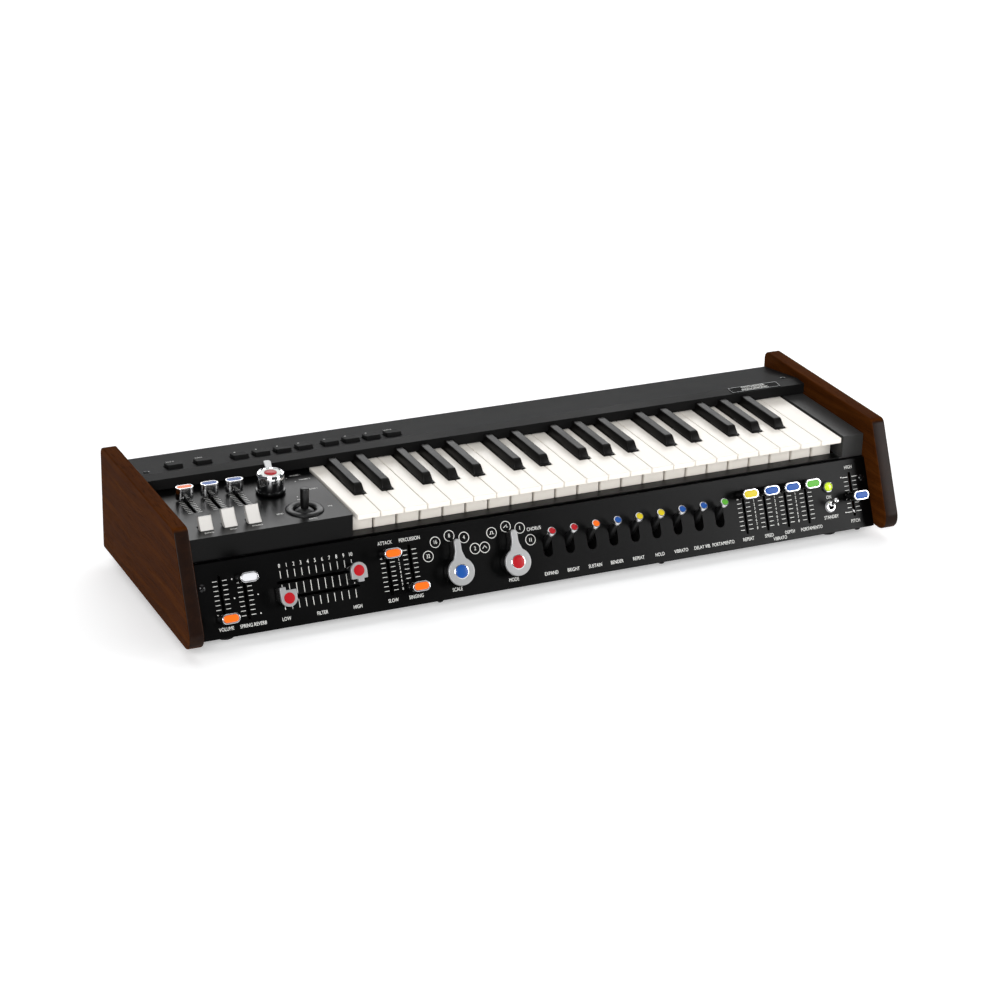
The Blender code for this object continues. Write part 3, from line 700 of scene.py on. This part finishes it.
def cap(top, colour, where, body):
    """Body, plated rim and insert of one cap, as three skins."""
    waist = top - CAP_SKIRT
    rim = [(0.35, waist), (0.0, waist + 0.15), *quarter(0.45, top), (CAP_RIM, top),
           (CAP_RIM + 0.15, top - 0.15), (CAP_RIM + 0.2, top - 0.8)]
    insert = [(CAP_RIM + inwards, top + up) for inwards, up in (
        (0.15, -1.2), (0.2, -0.35), (0.45, -0.12), (1.4, -0.02), (2.4, 0.02))]
    return [block(CAP, CAP_BASE, waist + 0.4, body, where, 0.1, 0.5),
            skin(stack(CAP, rim), RIM, where), skin(stack(CAP, insert), ENAMEL[colour], where)]


def stem(where, width=1.8, depth=6.0):
    return block(oblong(width, depth, 0.6, 2), -9, 3, BLACK, where, 0.1, 0.2)


def fader(node, colours, datum, body=GLOSS_BLACK):
    """The caps of one fader, or of a bank spaced evenly over the node's width."""
    low, high = local_box(node, datum)
    places = np.linspace(low[0] + CAP_PITCH / 2, high[0] - CAP_PITCH / 2, len(colours))
    shells = []
    for x, colour in zip(places, colours):
        where = datum.at(x, (low[1] + high[1]) / 2)
        shells += [*cap(high[2], colour, where, body), stem(where)]
    make(f"{node}_caps", node, shells, [node])
    return places


FADERS = {name: fader(f"{name}_slider", [colour], FACE)[0] for name, colour in (
    ("volume", "orange"), ("reverb", "white"), ("attack", "orange"), ("percussion", "orange"),
    ("pitch", "blue"))}
MOD_X = fader("modulation_sliders", ["yellow", "blue", "blue", "green"], FACE)
TOP_X = fader("top_sliders", ["orange", "blue", "blue"], KEYS, CHROME)
print("faders at", {name: round(float(x), 1) for name, x in FADERS.items()})

# %% [markdown]
# The two travelling markers share a shape: a round end, a flat end and a small index
# tab that points at the scale. One is the other turned upside down, with its tab moved.
# %% Travelling markers
MARKER_SCALE = 0.88


def marker(node, facing, tab_left):
    low, high = local_box(node, FACE)
    centre = ((low[0] + high[0]) / 2, high[1] - 12.0 if facing > 0 else low[1] + 12.0)
    side, flat, tab_right, tab_end = 8.9, 8.5, tab_left + 6.4, 12.0
    corners = [(-side, -side), (side, -side), (side, flat), (tab_right, flat), (tab_right, tab_end),
               (tab_left, tab_end)]
    radii = [side - 0.05, side - 0.05, 0.9, 0.3, 0.8, 0.8]
    if tab_left > -side:
        corners += [(tab_left, flat), (-side, flat)]
        radii += [0.3, 0.9]
    outline = rounded(corners, radii, 10) * MARKER_SCALE
    where = FACE.at(*centre)
    if facing < 0:
        outline = outline[::-1] * (1, -1)
    disc = [(0.5, 15.4), (5.1, 15.4), (5.25, 16.0), (5.0, 16.4), (3.0, 16.6), (0.4, 16.65)]
    shells = [block(outline, 2, 13.2, GLOSS_BLACK, where, 0.2, 0.4),
              block(outline, 12.8, 16.0, PLATE, where, 0.4, 0.2),
              lathe(disc, ENAMEL["red"], where), stem(where, 6.0, 1.8)]
    make(f"{node}_marker", node, shells, [node])


marker("traveler_low_slider", 1, -8.9)
marker("traveler_high_slider", -1, -2.0)

# %% [markdown]
# A pointer knob is a teardrop: three quarters of a circle drawn out into a narrow
# neck. A black body carries a brushed plate of the same outline, and a coloured disc in
# a pale ring marks the turning centre.
# %% Pointer knobs
HUB = 13.5  # from a knob's front edge to the centre that it turns about
SPINDLE = [(1.5, -9), (3, -8.6), (3, 2), (1.5, 2)]


def teardrop(radius, reach, neck, steps=30, blend=9.0):
    """Outline of a disc with a pointer along +Y. The flank follows a cosine from the
    disc's edge to the neck, so the two meet without a corner."""
    start = np.arccos(neck / radius) - math.radians(14)
    disc = np.linspace(np.pi - start, 2 * np.pi + start, steps)
    body = radius * np.stack([np.cos(disc), np.sin(disc)], -1)
    share = np.linspace(0, 1, 9)[1:, None]
    shoulder = body[-1]
    fade = (1 - np.cos(np.pi * share)) / 2
    drift = (np.sqrt(share) + fade) / 2
    flank = shoulder + np.hstack([(neck - shoulder[0]) * drift, share * blend])
    angle = np.linspace(0, np.pi, 9)
    tip = np.stack([neck * np.cos(angle), reach - neck + neck * np.sin(angle)], -1)
    return np.concatenate([body, flank, tip, flank[::-1] * (-1, 1)])


def pointer_knob(node, colour):
    low, high = local_box(node, FACE)
    where, top = FACE.at((low[0] + high[0]) / 2, low[1] + HUB), high[2]
    on_top = where.at(0, 0, top)
    shape = teardrop(13.2, high[1] - low[1] - HUB, 3.2)
    ring = [(1.0, -0.4), (7.1, -0.4), (7.1, 0.15), (6.7, 0.35), (1.0, 0.35)]
    disc = [(1.0, 0), (6.3, 0), (6.3, 0.5), (6.0, 0.75), (3.4, 0.95), (0.4, 1.0)]
    shells = [block(shape, 0.8, top - 2.6, GLOSS_BLACK, where, 0.3, 0.5),
              block(shape, top - 2.9, top, PLATE, where, 0.6, 0.3),
              lathe(ring, RIM, on_top), lathe(disc, ENAMEL[colour], on_top),
              lathe(SPINDLE, CHROME, where, 24)]
    make(f"{node}_pointer", node, shells, [node])


pointer_knob("scale_knob", "blue")
pointer_knob("mode_knob", "red")

# %% [markdown]
# The effect knob is a tall plated drum with a smoked pointer plate reaching back from
# its top. The drum is a turned profile: black foot ring, straight plated wall, a rolled
# shoulder and a pale dished top around the red centre.
# %% Effect knob
low, high = local_box("effect_knob", KEYS)
KNOB_TOP = high[2]
POINTER_REST = -14
knob_at = KEYS.at((low[0] + high[0]) / 2, low[1] + HUB)
crown_at = knob_at.at(0, 0, KNOB_TOP)
foot = [(6, 1.0), (13.9, 1.0), (14.2, 1.4), (14.2, 3.2), (13.8, 3.7), (6, 3.7)]
drum = [(6, 3.2 - KNOB_TOP), (12.7, 3.4 - KNOB_TOP), (13.0, 3.8 - KNOB_TOP), (13.0, -3.4),
        (12.8, -2.6), (12.2, -1.9), (6, -1.7)]
crown = [(6, -2.4), (12.5, -2.2), (12.7, -1.4), (12.3, -0.6), (11.2, -0.2), (10.4, -0.5),
         (10.0, -1.6), (2, -1.6)]
dish = [(2, -1.7), (10.1, -1.7), (10.1, -0.8), (7.4, -1.1), (2, -1.1)]
centre = [(1, -1.2), (5.9, -1.2), (5.9, -0.5), (5.5, -0.15), (3, 0.1), (0.4, 0.15)]
reach = high[1] - low[1] - HUB
blade = rounded([(-2.9, 9), (2.9, 9), (3.7, reach), (-3.7, reach)], [1.0, 1.0, 3.2, 3.2], 6)
blade = blade @ about("Z", POINTER_REST)[:2, :2].T
make("effect_knob_drum", "effect_knob",
     [lathe(foot, GLOSS_BLACK, knob_at), lathe(drum, CHROME, crown_at, 72),
      lathe(crown, CHROME, crown_at, 72), lathe(dish, DISH, crown_at, 72),
      lathe(centre, ENAMEL["red"], crown_at), lathe(SPINDLE, CHROME, knob_at, 24),
      block(blade, -3.0, -1.0, SMOKE, crown_at, 0.5, 0.3)], ["effect_knob"])

# %% [markdown]
# The joystick stands in a satin dished bezel. The bezel is a closed ring, so the last
# point of its profile joins the first. A dust dome rides on the stick. It is a piece of
# a sphere about the stick's own pivot, so it covers the hole whichever way the stick
# leans, and never comes nearer to the bezel.
# %% Joystick
low, high = local_box("joystick_stick", KEYS)
stick_x, stick_y = (low[0] + high[0]) / 2, (low[1] + high[1]) / 2
STICK_TOP, STICK_PIVOT = high[2], -11.0
stick_at = KEYS.at(stick_x, stick_y)
bezel = [(10.2, -1.2), (11.5, -1.2), (11.6, -0.05), (17.6, -0.05), (18.2, 0.35), (17.9, 1.0),
         (16.6, 1.7), (14.5, 2.1), (12.4, 1.9), (11.0, 1.2), (10.3, 0.3)]
make("joystick_bezel", "case", [lathe(bezel, BLACK, stick_at, 72, True)])
angle = np.linspace(0.12, 1.3, 12)
DOME_OUTSIDE, DOME_INSIDE = 13.65, 13.2
arc = np.column_stack([np.sin(angle), np.cos(angle)])
rod = [(1, STICK_PIVOT - 5), (3.4, STICK_PIVOT - 5), (3.6, STICK_PIVOT - 4), (3.7, 2.0), (4.15, 9.0),
       (4.2, STICK_TOP - 1.5), (3.9, STICK_TOP - 0.5), (3.2, STICK_TOP), (1.0, STICK_TOP)]
shade = np.concatenate([DOME_OUTSIDE * arc, DOME_INSIDE * arc[::-1]]) + (0, STICK_PIVOT)
make("joystick_grip", "joystick_stick",
     [lathe(rod, BLACK, stick_at, 40), lathe(shade, BLACK, stick_at)],
     ["joystick_stick"])

# %% [markdown]
# Nine paddle levers sit in a row of stadium wells. Each is a square stem that narrows
# towards a bright neck and ends in a disc with a coloured face in a pale ring. They
# tilt up from a shaft behind the panel, so each lever gets its own tilted datum.
# %% Levers
LEVER_COLOURS = ["red", "red", "orange", "blue", "yellow", "yellow", "blue", "blue", "green"]
LEVER_ROW, LEVER_DEPTH, LEVER_TILT = 36.0, -10.0, -30.0
low, high = local_box("effect_levers", FACE)
LEVER_X = np.linspace(low[0] + 6, high[0] - 6, len(LEVER_COLOURS))


def tapered(sizes):
    """Rings of a square bar: each (width, depth, height) is one rounded rectangle."""
    outlines = [oblong(width, depth, min(width, depth) * 0.28, 3) for width, depth, _ in sizes]
    return np.array([np.column_stack([outline, np.full(len(outline), size[2])])
                     for outline, size in zip(outlines, sizes)])


def lever(x, colour):
    where = FACE.at(x, -LEVER_ROW, LEVER_DEPTH, about("X", LEVER_TILT))
    blade = tapered([(6.2, 7.6, 0), (6.2, 7.4, 9), (5.6, 6.2, 14), (4.0, 4.8, 20), (3.2, 4.0, 22.6)])
    neck = [(1.2, 21.5), (1.9, 21.8), (2.1, 24.6), (3.2, 25.4), (1.2, 25.4)]
    head = [(1.0, 24.9), (3.7, 24.9), (4.2, 25.5), (4.2, 29.3), (4.05, 29.8), (3.4, 30.0),
            (3.2, 29.6), (1.0, 29.6)]
    face = [(1.0, 29.0), (3.15, 29.0), (3.15, 29.8), (2.6, 30.1), (0.3, 30.25)]
    return [skin(blade, BLACK, where), lathe(neck, CHROME, where, 20), lathe(head, RIM, where, 32),
            lathe(face, ENAMEL[colour], where, 28)]


shaft = [(0.8, low[0]), (2.5, low[0] + 0.3), (2.5, high[0] - 0.3), (0.8, high[0])]
lever_shells = [lathe(shaft, BLACK, FACE.at(0, -LEVER_ROW, LEVER_DEPTH, SIDEWAYS), 16)]
for x, colour in zip(LEVER_X, LEVER_COLOURS):
    lever_shells += lever(x, colour)
make("paddle_levers", "effect_levers", lever_shells, ["effect_levers"])

# %% [markdown]
# Each well is lined with a black cup, so that no light from inside the case shows
# round the stem. The cup is a closed skin whose layers go down the outside and come up
# again on the inside.
# %% Lever wells
well = racetrack(20, 9.6, 36) @ np.array([[0, 1], [-1, 0]])
liner = [skin(stack(well, [(-0.6, -1.5), (-0.6, -17.5), (-0.05, -17.5), (-0.05, -1.5)]), BLACK,
              FACE.at(x, -LEVER_ROW), closed=True) for x in LEVER_X]
make("lever_wells", "case", liner)

# %% [markdown]
# Three white rockers stand in the left housing. Seen from the side each is a curved
# paddle, thick at its foot and thin at its tip. The side view is drawn as an outline
# and carried across, with its long edges rounded.
# %% Rockers
ROCKER_Y, ROCKER_WIDTH = 24.0, 12.4


def paddle(tip_y, tip_z, lean):
    """Side view: the spine runs from the foot to the tip along a parabola, bending by
    lean; the two faces lie half a thickness either side, 4.6 mm thinning to 2.4."""
    t = np.linspace(0, 1, 9)
    spine = np.stack([-4.6 + (tip_y + 4.6) * t + lean * t * (1 - t) * 4, -2.6 + (tip_z + 2.6) * t], -1)
    along = np.gradient(spine, axis=0)
    along /= np.linalg.norm(along, axis=1, keepdims=True)
    side = np.stack([along[:, 1], -along[:, 0]], -1) * (2.5 - 1.3 * t)[:, None]
    return np.concatenate([spine + side, (spine - side)[::-1]])


def rocker(x, tip_y, tip_z, lean):
    across = KEYS.at(0, ROCKER_Y, 0, SIDEWAYS)
    left, right = x - ROCKER_WIDTH / 2, x + ROCKER_WIDTH / 2
    body = stack(paddle(tip_y, tip_z, lean)[::-1], slab(left, right, 0.5, 0.5))
    return skin(body[:, ::-1], WHITE, across)


ROCKER_X = [-139.5, -116.2, -92.9]
make("rockers", "case", [rocker(ROCKER_X[0], 2.6, 10.8, 1.5)]
     + [rocker(x, 6.4, 13.4, 1.9) for x in ROCKER_X[1:]])

# %% [markdown]
# The power switch is a bat lever in a round nut on a washer. Above it a faceted lens
# sits in a plated bezel. A low side count makes the lens a cut stone.
# %% Power switch and lamp
SWITCH_X, SWITCH_ROW, LAMP_ROW, BAT_TILT = 499.2, 43.6, 23.7, -22
switch_at, lamp_at = FACE.at(SWITCH_X, -SWITCH_ROW), FACE.at(SWITCH_X, -LAMP_ROW)
washer = [(3.4, -0.05), (5.6, -0.05), (5.8, 0.2), (5.7, 0.8), (5.2, 1.0), (3.4, 1.0)]
nut = [(2.9, 0.8), (4.6, 0.8), (4.8, 1.1), (4.8, 2.4), (4.3, 3.0), (3.3, 3.0), (2.9, 2.6)]
make("switch_bush", "case", [lathe(washer, PLATE, switch_at, closed=True),
                             lathe(nut, CHROME, switch_at, 24, True)])
bat = [(0.6, -2), (1.7, -2), (1.75, 6), (2.1, 11), (2.55, 15), (2.4, 16.4), (1.6, 17.1), (0.5, 17.3)]
bat_at = switch_at.at(0, 0, 0, about("X", BAT_TILT))
make("switch_bat", "power_toggle", [lathe(bat, CHROME, bat_at, 28)], ["power_toggle"])
collar = [(4.0, -0.05), (5.6, -0.05), (5.75, 0.3), (5.75, 1.6), (5.3, 2.5), (4.5, 2.7), (4.1, 2.2)]
gem = [(1.0, 0.3), (4.2, 0.3), (4.2, 2.4), (3.4, 3.9), (1.9, 4.7), (0.5, 4.8)]
make("pilot_lamp", "case", [lathe(collar, CHROME, lamp_at, closed=True)])
make("pilot_lens", "case", [lathe(gem, LENS, lamp_at, 10)], sharp=12)

# %% [markdown]
# The ten push buttons are square keys of black rubber with softened corners. Each lies
# in its own opening of the rear cover, and they all ride on the same mat.
# %% Push buttons
BUTTON_X = [-127, -98, -61, -39.2, -17.4, 4.5, 31.5, 53.3, 75.1, 97]
low, high = local_box("preset_buttons", ROOF)
BUTTON_Y, BUTTON_HIGH = (low[1] + high[1]) / 2, high[2]
buttons = []
for x in BUTTON_X:
    shape = oblong(15.5, 13.0, 1.8, 5, (x, BUTTON_Y))
    buttons.append(block(shape, -5.0, BUTTON_HIGH, RUBBER, ROOF, 0.9, 0.2, 4))
backing = oblong(high[0] - low[0], high[1] - low[1], 1.0, 3, ((low[0] + high[0]) / 2, BUTTON_Y))
buttons.append(block(backing, low[2], low[2] + 2, RUBBER, ROOF, 0.2, 0.2))
make("push_buttons", "preset_buttons", buttons, ["preset_buttons"])

# %% [markdown]
# A pan head screw with a cross recess is a height over a disc: the dome falls with the
# square of the radius, and two crossed grooves are taken out of it near the middle.
# %% Screws


def screw(radius, crown, where):
    """z = crown * (1 - (r / R)^2), less a cross of half width 0.14 R and reach 0.58 R."""
    rises = np.concatenate([[0.02], np.linspace(0.06, 0.62, 14), np.linspace(0.7, 1.0, 6)])
    r = rises[::-1, None] * radius
    a = np.arange(48) * 2 * np.pi / 48 + 0.4
    x, y = r * np.cos(a), r * np.sin(a)
    arm = np.minimum(abs(x * np.cos(0.5) + y * np.sin(0.5)), abs(y * np.cos(0.5) - x * np.sin(0.5)))
    cross = np.clip((0.14 * radius - arm) / (0.05 * radius), 0, 1)
    cross *= np.clip((0.58 * radius - np.hypot(x, y)) / (0.06 * radius), 0, 1)
    z = crown * (1 - (r / radius) ** 2) + 0.5 - cross * crown * 0.8
    top = np.stack([x, y, z], -1)
    base = np.stack([radius * np.cos(a), radius * np.sin(a), np.full(48, -0.05)], -1)[None]
    return skin(np.concatenate([base, top]), GLOSS_BLACK, where)


UNDER = KEYS.at(0, -24, -88.9, about("X", 180))
fixings = [screw(3.5, 1.1, FACE.at(x, -row)) for x, row in ((-155.3, 21.4), (539.5, 20.1))]
fixings += [screw(3.2, 1.0, ROOF.at(x, 8.0)) for x in (-155.6, 533)]
fixings += [screw(3.3, 2.0, UNDER.at(x, 0, 0)) for x in (74, 308, 529)]
make("screws", "case", fixings)

# %% [markdown]
# Printed marks are flat shapes a few hundredths of a millimetre thick. Straight ticks
# are all the same bar, so one small box is copied to every place in a single array
# operation. Rings are closed strips, waves are strokes along a path, and figures come
# from a text object that is turned into a mesh.
# %% Ink
INK_LOW, INK_HIGH = -0.03, 0.05
TALL = 1.3


def bars(places, width, height, where):
    """Boxes of one size at many places: corner pattern plus place, by broadcasting."""
    places = np.array(places, float)
    corner = np.array([(x, y, z) for z in (0, 1) for x, y in ((-1, -1), (1, -1), (1, 1), (-1, 1))], float)
    corner = corner * (width / 2, height / 2, INK_HIGH - INK_LOW) + (0, 0, INK_LOW)
    points = (corner + np.pad(places, ((0, 0), (0, 1)))[:, None]).reshape(-1, 3)
    quads = np.array([(3, 2, 1, 0), (4, 5, 6, 7), (0, 1, 5, 4), (1, 2, 6, 5), (2, 3, 7, 6), (3, 0, 4, 7)])
    faces = (quads + 8 * np.arange(len(places))[:, None, None]).reshape(-1, 4)
    return where.world(points), faces.tolist(), INK


def ticks(x, rows, offset, width, height, where):
    """A pair of bars beside the slot at x, one either side, for every row."""
    return bars([(x + side * offset, row) for side in (-1, 1) for row in rows], width, height, where)


def hoop(radius, width, where):
    """A thin printed ring, closed both ways."""
    inner, outer = radius - width / 2, radius + width / 2
    profile = [(inner, INK_LOW), (outer, INK_LOW), (outer, INK_HIGH), (inner, INK_HIGH)]
    return lathe(profile, INK, where, 40, True)


def dots(places, radius, where):
    """A small printed disc at each place."""
    profile = [(radius * 0.5, INK_LOW), (radius, INK_LOW), (radius, INK_HIGH), (radius * 0.5, INK_HIGH)]
    return [lathe(profile, INK, where.at(x, y), 14) for x, y in places]


def stroke(path, width, where):
    """A line of even width: the path moved half a width to either side."""
    path = np.array(path, float)
    along = np.gradient(path, axis=0)
    along /= np.linalg.norm(along, axis=1, keepdims=True)
    side = np.stack([-along[:, 1], along[:, 0]], -1) * width / 2
    outline = np.concatenate([path - side, (path + side)[::-1]])
    return skin(stack(outline, [(0, INK_LOW), (0, INK_HIGH)]), INK, where)


def lettering(text, size, where):
    """Words or figures as a thin solid, read off a text object and drawn out tall."""
    words = bpy.data.curves.new("words", "FONT")
    words.body, words.size, words.align_x, words.align_y = text, size, "CENTER", "CENTER"
    words.extrude = (INK_HIGH - INK_LOW) / 2
    words.resolution_u = 3
    holder = added("words", words)
    view = bpy.context.evaluated_depsgraph_get()
    mesh = bpy.data.meshes.new_from_object(holder.evaluated_get(view))
    points = vertices(mesh) * (1, TALL, 1) + (0, 0, (INK_HIGH + INK_LOW) / 2)
    faces = [list(face.vertices) for face in mesh.polygons]
    bpy.data.objects.remove(holder, do_unlink=True)
    bpy.data.meshes.remove(mesh)
    return where.world(points), faces, INK


def printed(words, size, where):
    """Lettering for each (text, x, y)."""
    return [lettering(text, size, where.at(x, y)) for text, x, y in words]


# %% Marks on the front panel
TICK_ROWS = -17.4 - 4.35 * np.arange(9)
SCALE_X = np.linspace(-79.6, -9.4, 11)
slots = [FADERS[name] for name in ("volume", "reverb", "attack", "percussion")]
marks = [ticks(x, TICK_ROWS, 4.7, 4.6, 0.5, FACE) for x in (*slots, *MOD_X)]
pitch_x = FADERS["pitch"]
marks += [ticks(pitch_x, TICK_ROWS[1:-1], 4.7, 4.6, 0.5, FACE),
          ticks(pitch_x, TICK_ROWS[[0, -1]], 5.4, 6.0, 0.6, FACE)]
for row, length in ((20.8, 7.0), (35.0, 10.0), (49.2, 8.0)):
    marks.append(bars([(x, -row) for x in SCALE_X], 0.5, length, FACE))
marks += printed([(str(number), x, -12.8) for number, x in enumerate(SCALE_X)], 4.0, FACE)
figures = [(str(number + 1), x, -25.0 - 3.9 * number)
           for x in (37.2, *(MOD_X[:3] + 11.7)) for number in range(8)]
marks += printed(figures, 2.9, FACE)
marks += dots([(-126.1, -17.4), (-126.1, -35), (-103.4, -35), (-103.4, -52.3), (516.2, -16.9),
               (516.2, -52), (538.6, -35)], 0.65, FACE)
make("panel_scales", "case", marks)

# %% [markdown]
# Each selector knob has five small rings round it. The left set holds pipe lengths,
# the right set the wave shapes, drawn as strokes: a peak, a pulse, a ramp, a single
# line and a double line.
# %% Selector rings
RINGS = [(66.8, 26.6), (75.7, 14.5), (90.6, 10.7), (105.2, 14.4), (114.8, 26.5),
         (124.7, 26.8), (133.8, 14.4), (148.9, 10.7), (163.2, 14.2), (172.4, 26.9)]
WAVES = [[(-2.2, -1), (0, 1.6), (2.2, -1)],
         [(-2.4, -1.2), (-1, -1.2), (-0.99, 1.3), (1, 1.3), (1.01, -1.2), (2.2, -1.2)],
         [(-2.4, -1), (1.2, 1.6), (1.21, -1.2), (2.4, -0.4)],
         [(0, -1.8), (0, 1.8)], [(-0.9, -1.8), (-0.9, 1.8)]]
rings = []
for (x, row), label in zip(RINGS, ["32", "16", "8", "4", "2"] + WAVES):
    spot = FACE.at(x, -row)
    rings.append(hoop(5.0, 0.55, spot))
    is_text = isinstance(label, str)
    rings.append(lettering(label, 4.0, spot) if is_text else stroke(label, 0.6, spot))
rings.append(stroke([(0.9, -1.8), (0.9, 1.8)], 0.6, spot))
make("selector_rings", "case", rings)

# %% [markdown]
# The words on the panel are the plain names of what each control does. They stand in
# two rows: one above the sliders, one below everything.
# %% Words on the panel
LOWER, UPPER = -61.6, -7.7
WORDS = [("VOLUME", FADERS["volume"], LOWER), ("SPRING REVERB", FADERS["reverb"] + 3.0, LOWER),
         ("LOW", -79.8, LOWER), ("FILTER", -44.6, LOWER), ("HIGH", -9.6, LOWER),
         ("SLOW", 26.0, LOWER), ("SINGING", 49.2, LOWER), ("ATTACK", 25.8, UPPER),
         ("PERCUSSION", 50.6, UPPER), ("SCALE", 91.2, LOWER), ("MODE", 149.6, LOWER),
         ("CHORUS", 177.5, -17.0), ("SPEED", MOD_X[1], LOWER), ("DEPTH", MOD_X[2], LOWER),
         ("PORTAMENTO", MOD_X[3] + 1.5, LOWER), ("REPEAT", MOD_X[0], LOWER),
         ("VIBRATO", 438.7, -66.0), ("ON", 499.3, -34.2), ("STANDBY", 499.2, -54.0),
         ("PITCH", pitch_x, LOWER), ("HIGH", pitch_x, UPPER)]
LEVER_WORDS = ["EXPAND", "BRIGHT", "SUSTAIN", "BENDER", "REPEAT", "HOLD", "VIBRATO", "DELAY VIB.",
               "PORTAMENTO"]
WORDS += [(word, x, LOWER) for word, x in zip(LEVER_WORDS, LEVER_X)]
make("panel_words", "case", printed(WORDS, 3.7, FACE))

# %% Marks on the housing and the cover
upper = [ticks(x, 61 + 3.9 * np.arange(8), 4.6, 4.6, 0.5, KEYS) for x in TOP_X]
upper += printed(zip(("BYPASS", "WAH", "DOUBLE"), ROCKER_X, [12.8] * 3), 2.7, KEYS)
upper += printed(zip(("LEVEL", "RATE", "TONE"), TOP_X, [106.5] * 3), 2.9, KEYS)
upper += dots([(-24.4, 95.8), (-29.5, 106), (-27.6, 73.5), (-35.9, 60.5)], 0.6, KEYS)
upper += printed([("PHASER 1", -19.3, 109.5), ("PHASER 2", -14.2, 98.0), ("FILTER 1", -15.0, 73.5),
                  ("FILTER 2", -33.4, 53.6), ("BEND", -65.0, 29.0), ("MIX", -15.2, 29.6),
                  ("DEPTH", -40.4, 8.2)], 2.6, KEYS)
upper += dots([(x + 2.2, 34) for x in BUTTON_X[2:9]], 0.9, ROOF)
upper += printed([("MODE", -124, 34), ("BANK", -95, 34), ("WRITE", 100.5, 34)], 2.9, ROOF)
make("housing_words", "case", upper)

# %% [markdown]
# A thin plate with a raised border sits on the flat lip of the cover, at the right. It
# carries two plain words and nothing else.
# %% Name plate
LIP_SLOPE = math.degrees(math.atan2(1.0, CREASE))
lip_at = KEYS.at(0, cover_low[1], cover_high[2] - 1.0, about("X", LIP_SLOPE))
plate_at = lip_at.at(490.5, 7.3)
PLATE_WIDTH, PLATE_DEPTH = 57, 11.6
plate = stack(oblong(PLATE_WIDTH, PLATE_DEPTH, 1.2), slab(-0.1, 0.5, 0.2, 0.05))
edge = stack(oblong(PLATE_WIDTH - 1, PLATE_DEPTH - 1, 1.0),
             [(0, 0.4), (0, 0.65), (0.3, 0.65), (0.3, 0.4)])
make("name_plate", "case", [skin(plate, NAME_BLACK, plate_at), skin(edge, SMOKE, plate_at, closed=True),
                            lettering("SYNTHESIZER", 4.4, plate_at.at(0, 2.6, 0.5)),
                            lettering("MONOPHONIC", 4.4, plate_at.at(0, -2.5, 0.5))])

# %% [markdown]
# The back wall has four square openings. Each gets the socket that it was cut for: a
# power inlet with its pin, a five-hole round socket, and two jacks with hexagonal nuts.
# %% Rear sockets
REAR = np.array([[-1, 0, 0], [0, 0, 1], [0, 1, 0]])
SOCKETS = {"power": (470, 40, 11.0), "five_pin": (392, 42, 15.5), "line": (330, 42, 10.0),
           "phones": (290, 42, 10.0)}
TRAY_TOP = -87.5
for name, (x, height, width) in SOCKETS.items():
    where = KEYS.at(x, BACK, TRAY_TOP + height, REAR)
    reach = width / 2 + 2.2
    hole = 6.6 if name == "five_pin" else 3.2
    if name in ("line", "phones"):
        flange = [(hole, -8), (4.6, -8), (4.6, 0.0), (reach, 0.0), (reach, 0.7), (4.6, 0.9), (hole, 0.9)]
        nut = [(hole, 0.7), (5.6, 0.7), (5.9, 1.1), (5.9, 2.6), (5.4, 3.0), (hole, 3.0)]
        shells = [lathe(flange, BLACK, where, 40, True), lathe(nut, CHROME, where, 6, True)]
    else:
        face = stack(oblong(2 * reach, 2 * reach, 1.6, 5), slab(0.05, 1.3, 0.4, 0.1))
        ring = [(hole, -6), (hole + 1.0, -6), (hole + 1.0, 1.9), (hole, 1.9)]
        well_floor = [(1, 1.0), (hole, 1.0), (hole, 1.45), (1, 1.45)]
        shells = [skin(face, BLACK, where), lathe(ring, CHROME, where, 40, True),
                  lathe(well_floor, RUBBER, where, 40)]
        turns = np.radians([0, 45, 90, 135, 180])
        pins = [(0, 0)] if name == "power" else 4.2 * np.column_stack([np.cos(turns), np.sin(turns)])
        pin = [(0.2, 1.2), (0.75, 1.2), (0.75, 1.9), (0.4, 2.2), (0.2, 2.2)]
        shells += [lathe(pin, CHROME, where.at(x, y), 14) for x, y in pins]
    make(f"{name}_socket", "case", shells)

# %% [markdown]
# What is left of the solid model is the joystick's ring, deep in its hole. The floor is
# a wide sheet with a faint variation in its colour, and it isn't part of the object.
# %% Ring and floor
ring_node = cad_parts["joystick_gimbal"]
ring_node.data.materials.clear()
ring_node.data.materials.append(BLACK)
paper = moulded("pale_paper", (0.90, 0.90, 0.90), 0.85, 300.0, 0.00002, 0.004,
                Emission_Color=(1, 1, 1, 1), Emission_Strength=0.3)
sheet = rounded([(-9, -9), (9, -9), (9, 9), (-9, 9)], 3.0, 8) / MM
points, faces, _ = skin(stack(sheet, [(0, -8.0), (0, 0.0)]), paper, Datum((0, 1.5, 0)))
ground = bpy.data.meshes.new("floor")
ground.from_pydata(points.tolist(), [], faces)
ground.materials.append(paper)
floor = added("floor", ground)
floor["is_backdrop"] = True

# %% Sizes and finish
bpy.context.view_layer.update()
LOOK_BOX = [list(corner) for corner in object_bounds()]
grown = np.round((np.array(LOOK_BOX) - np.array(CAD_BOX)) / MM, 1)
print("grown past the model, mm:", grown.tolist())
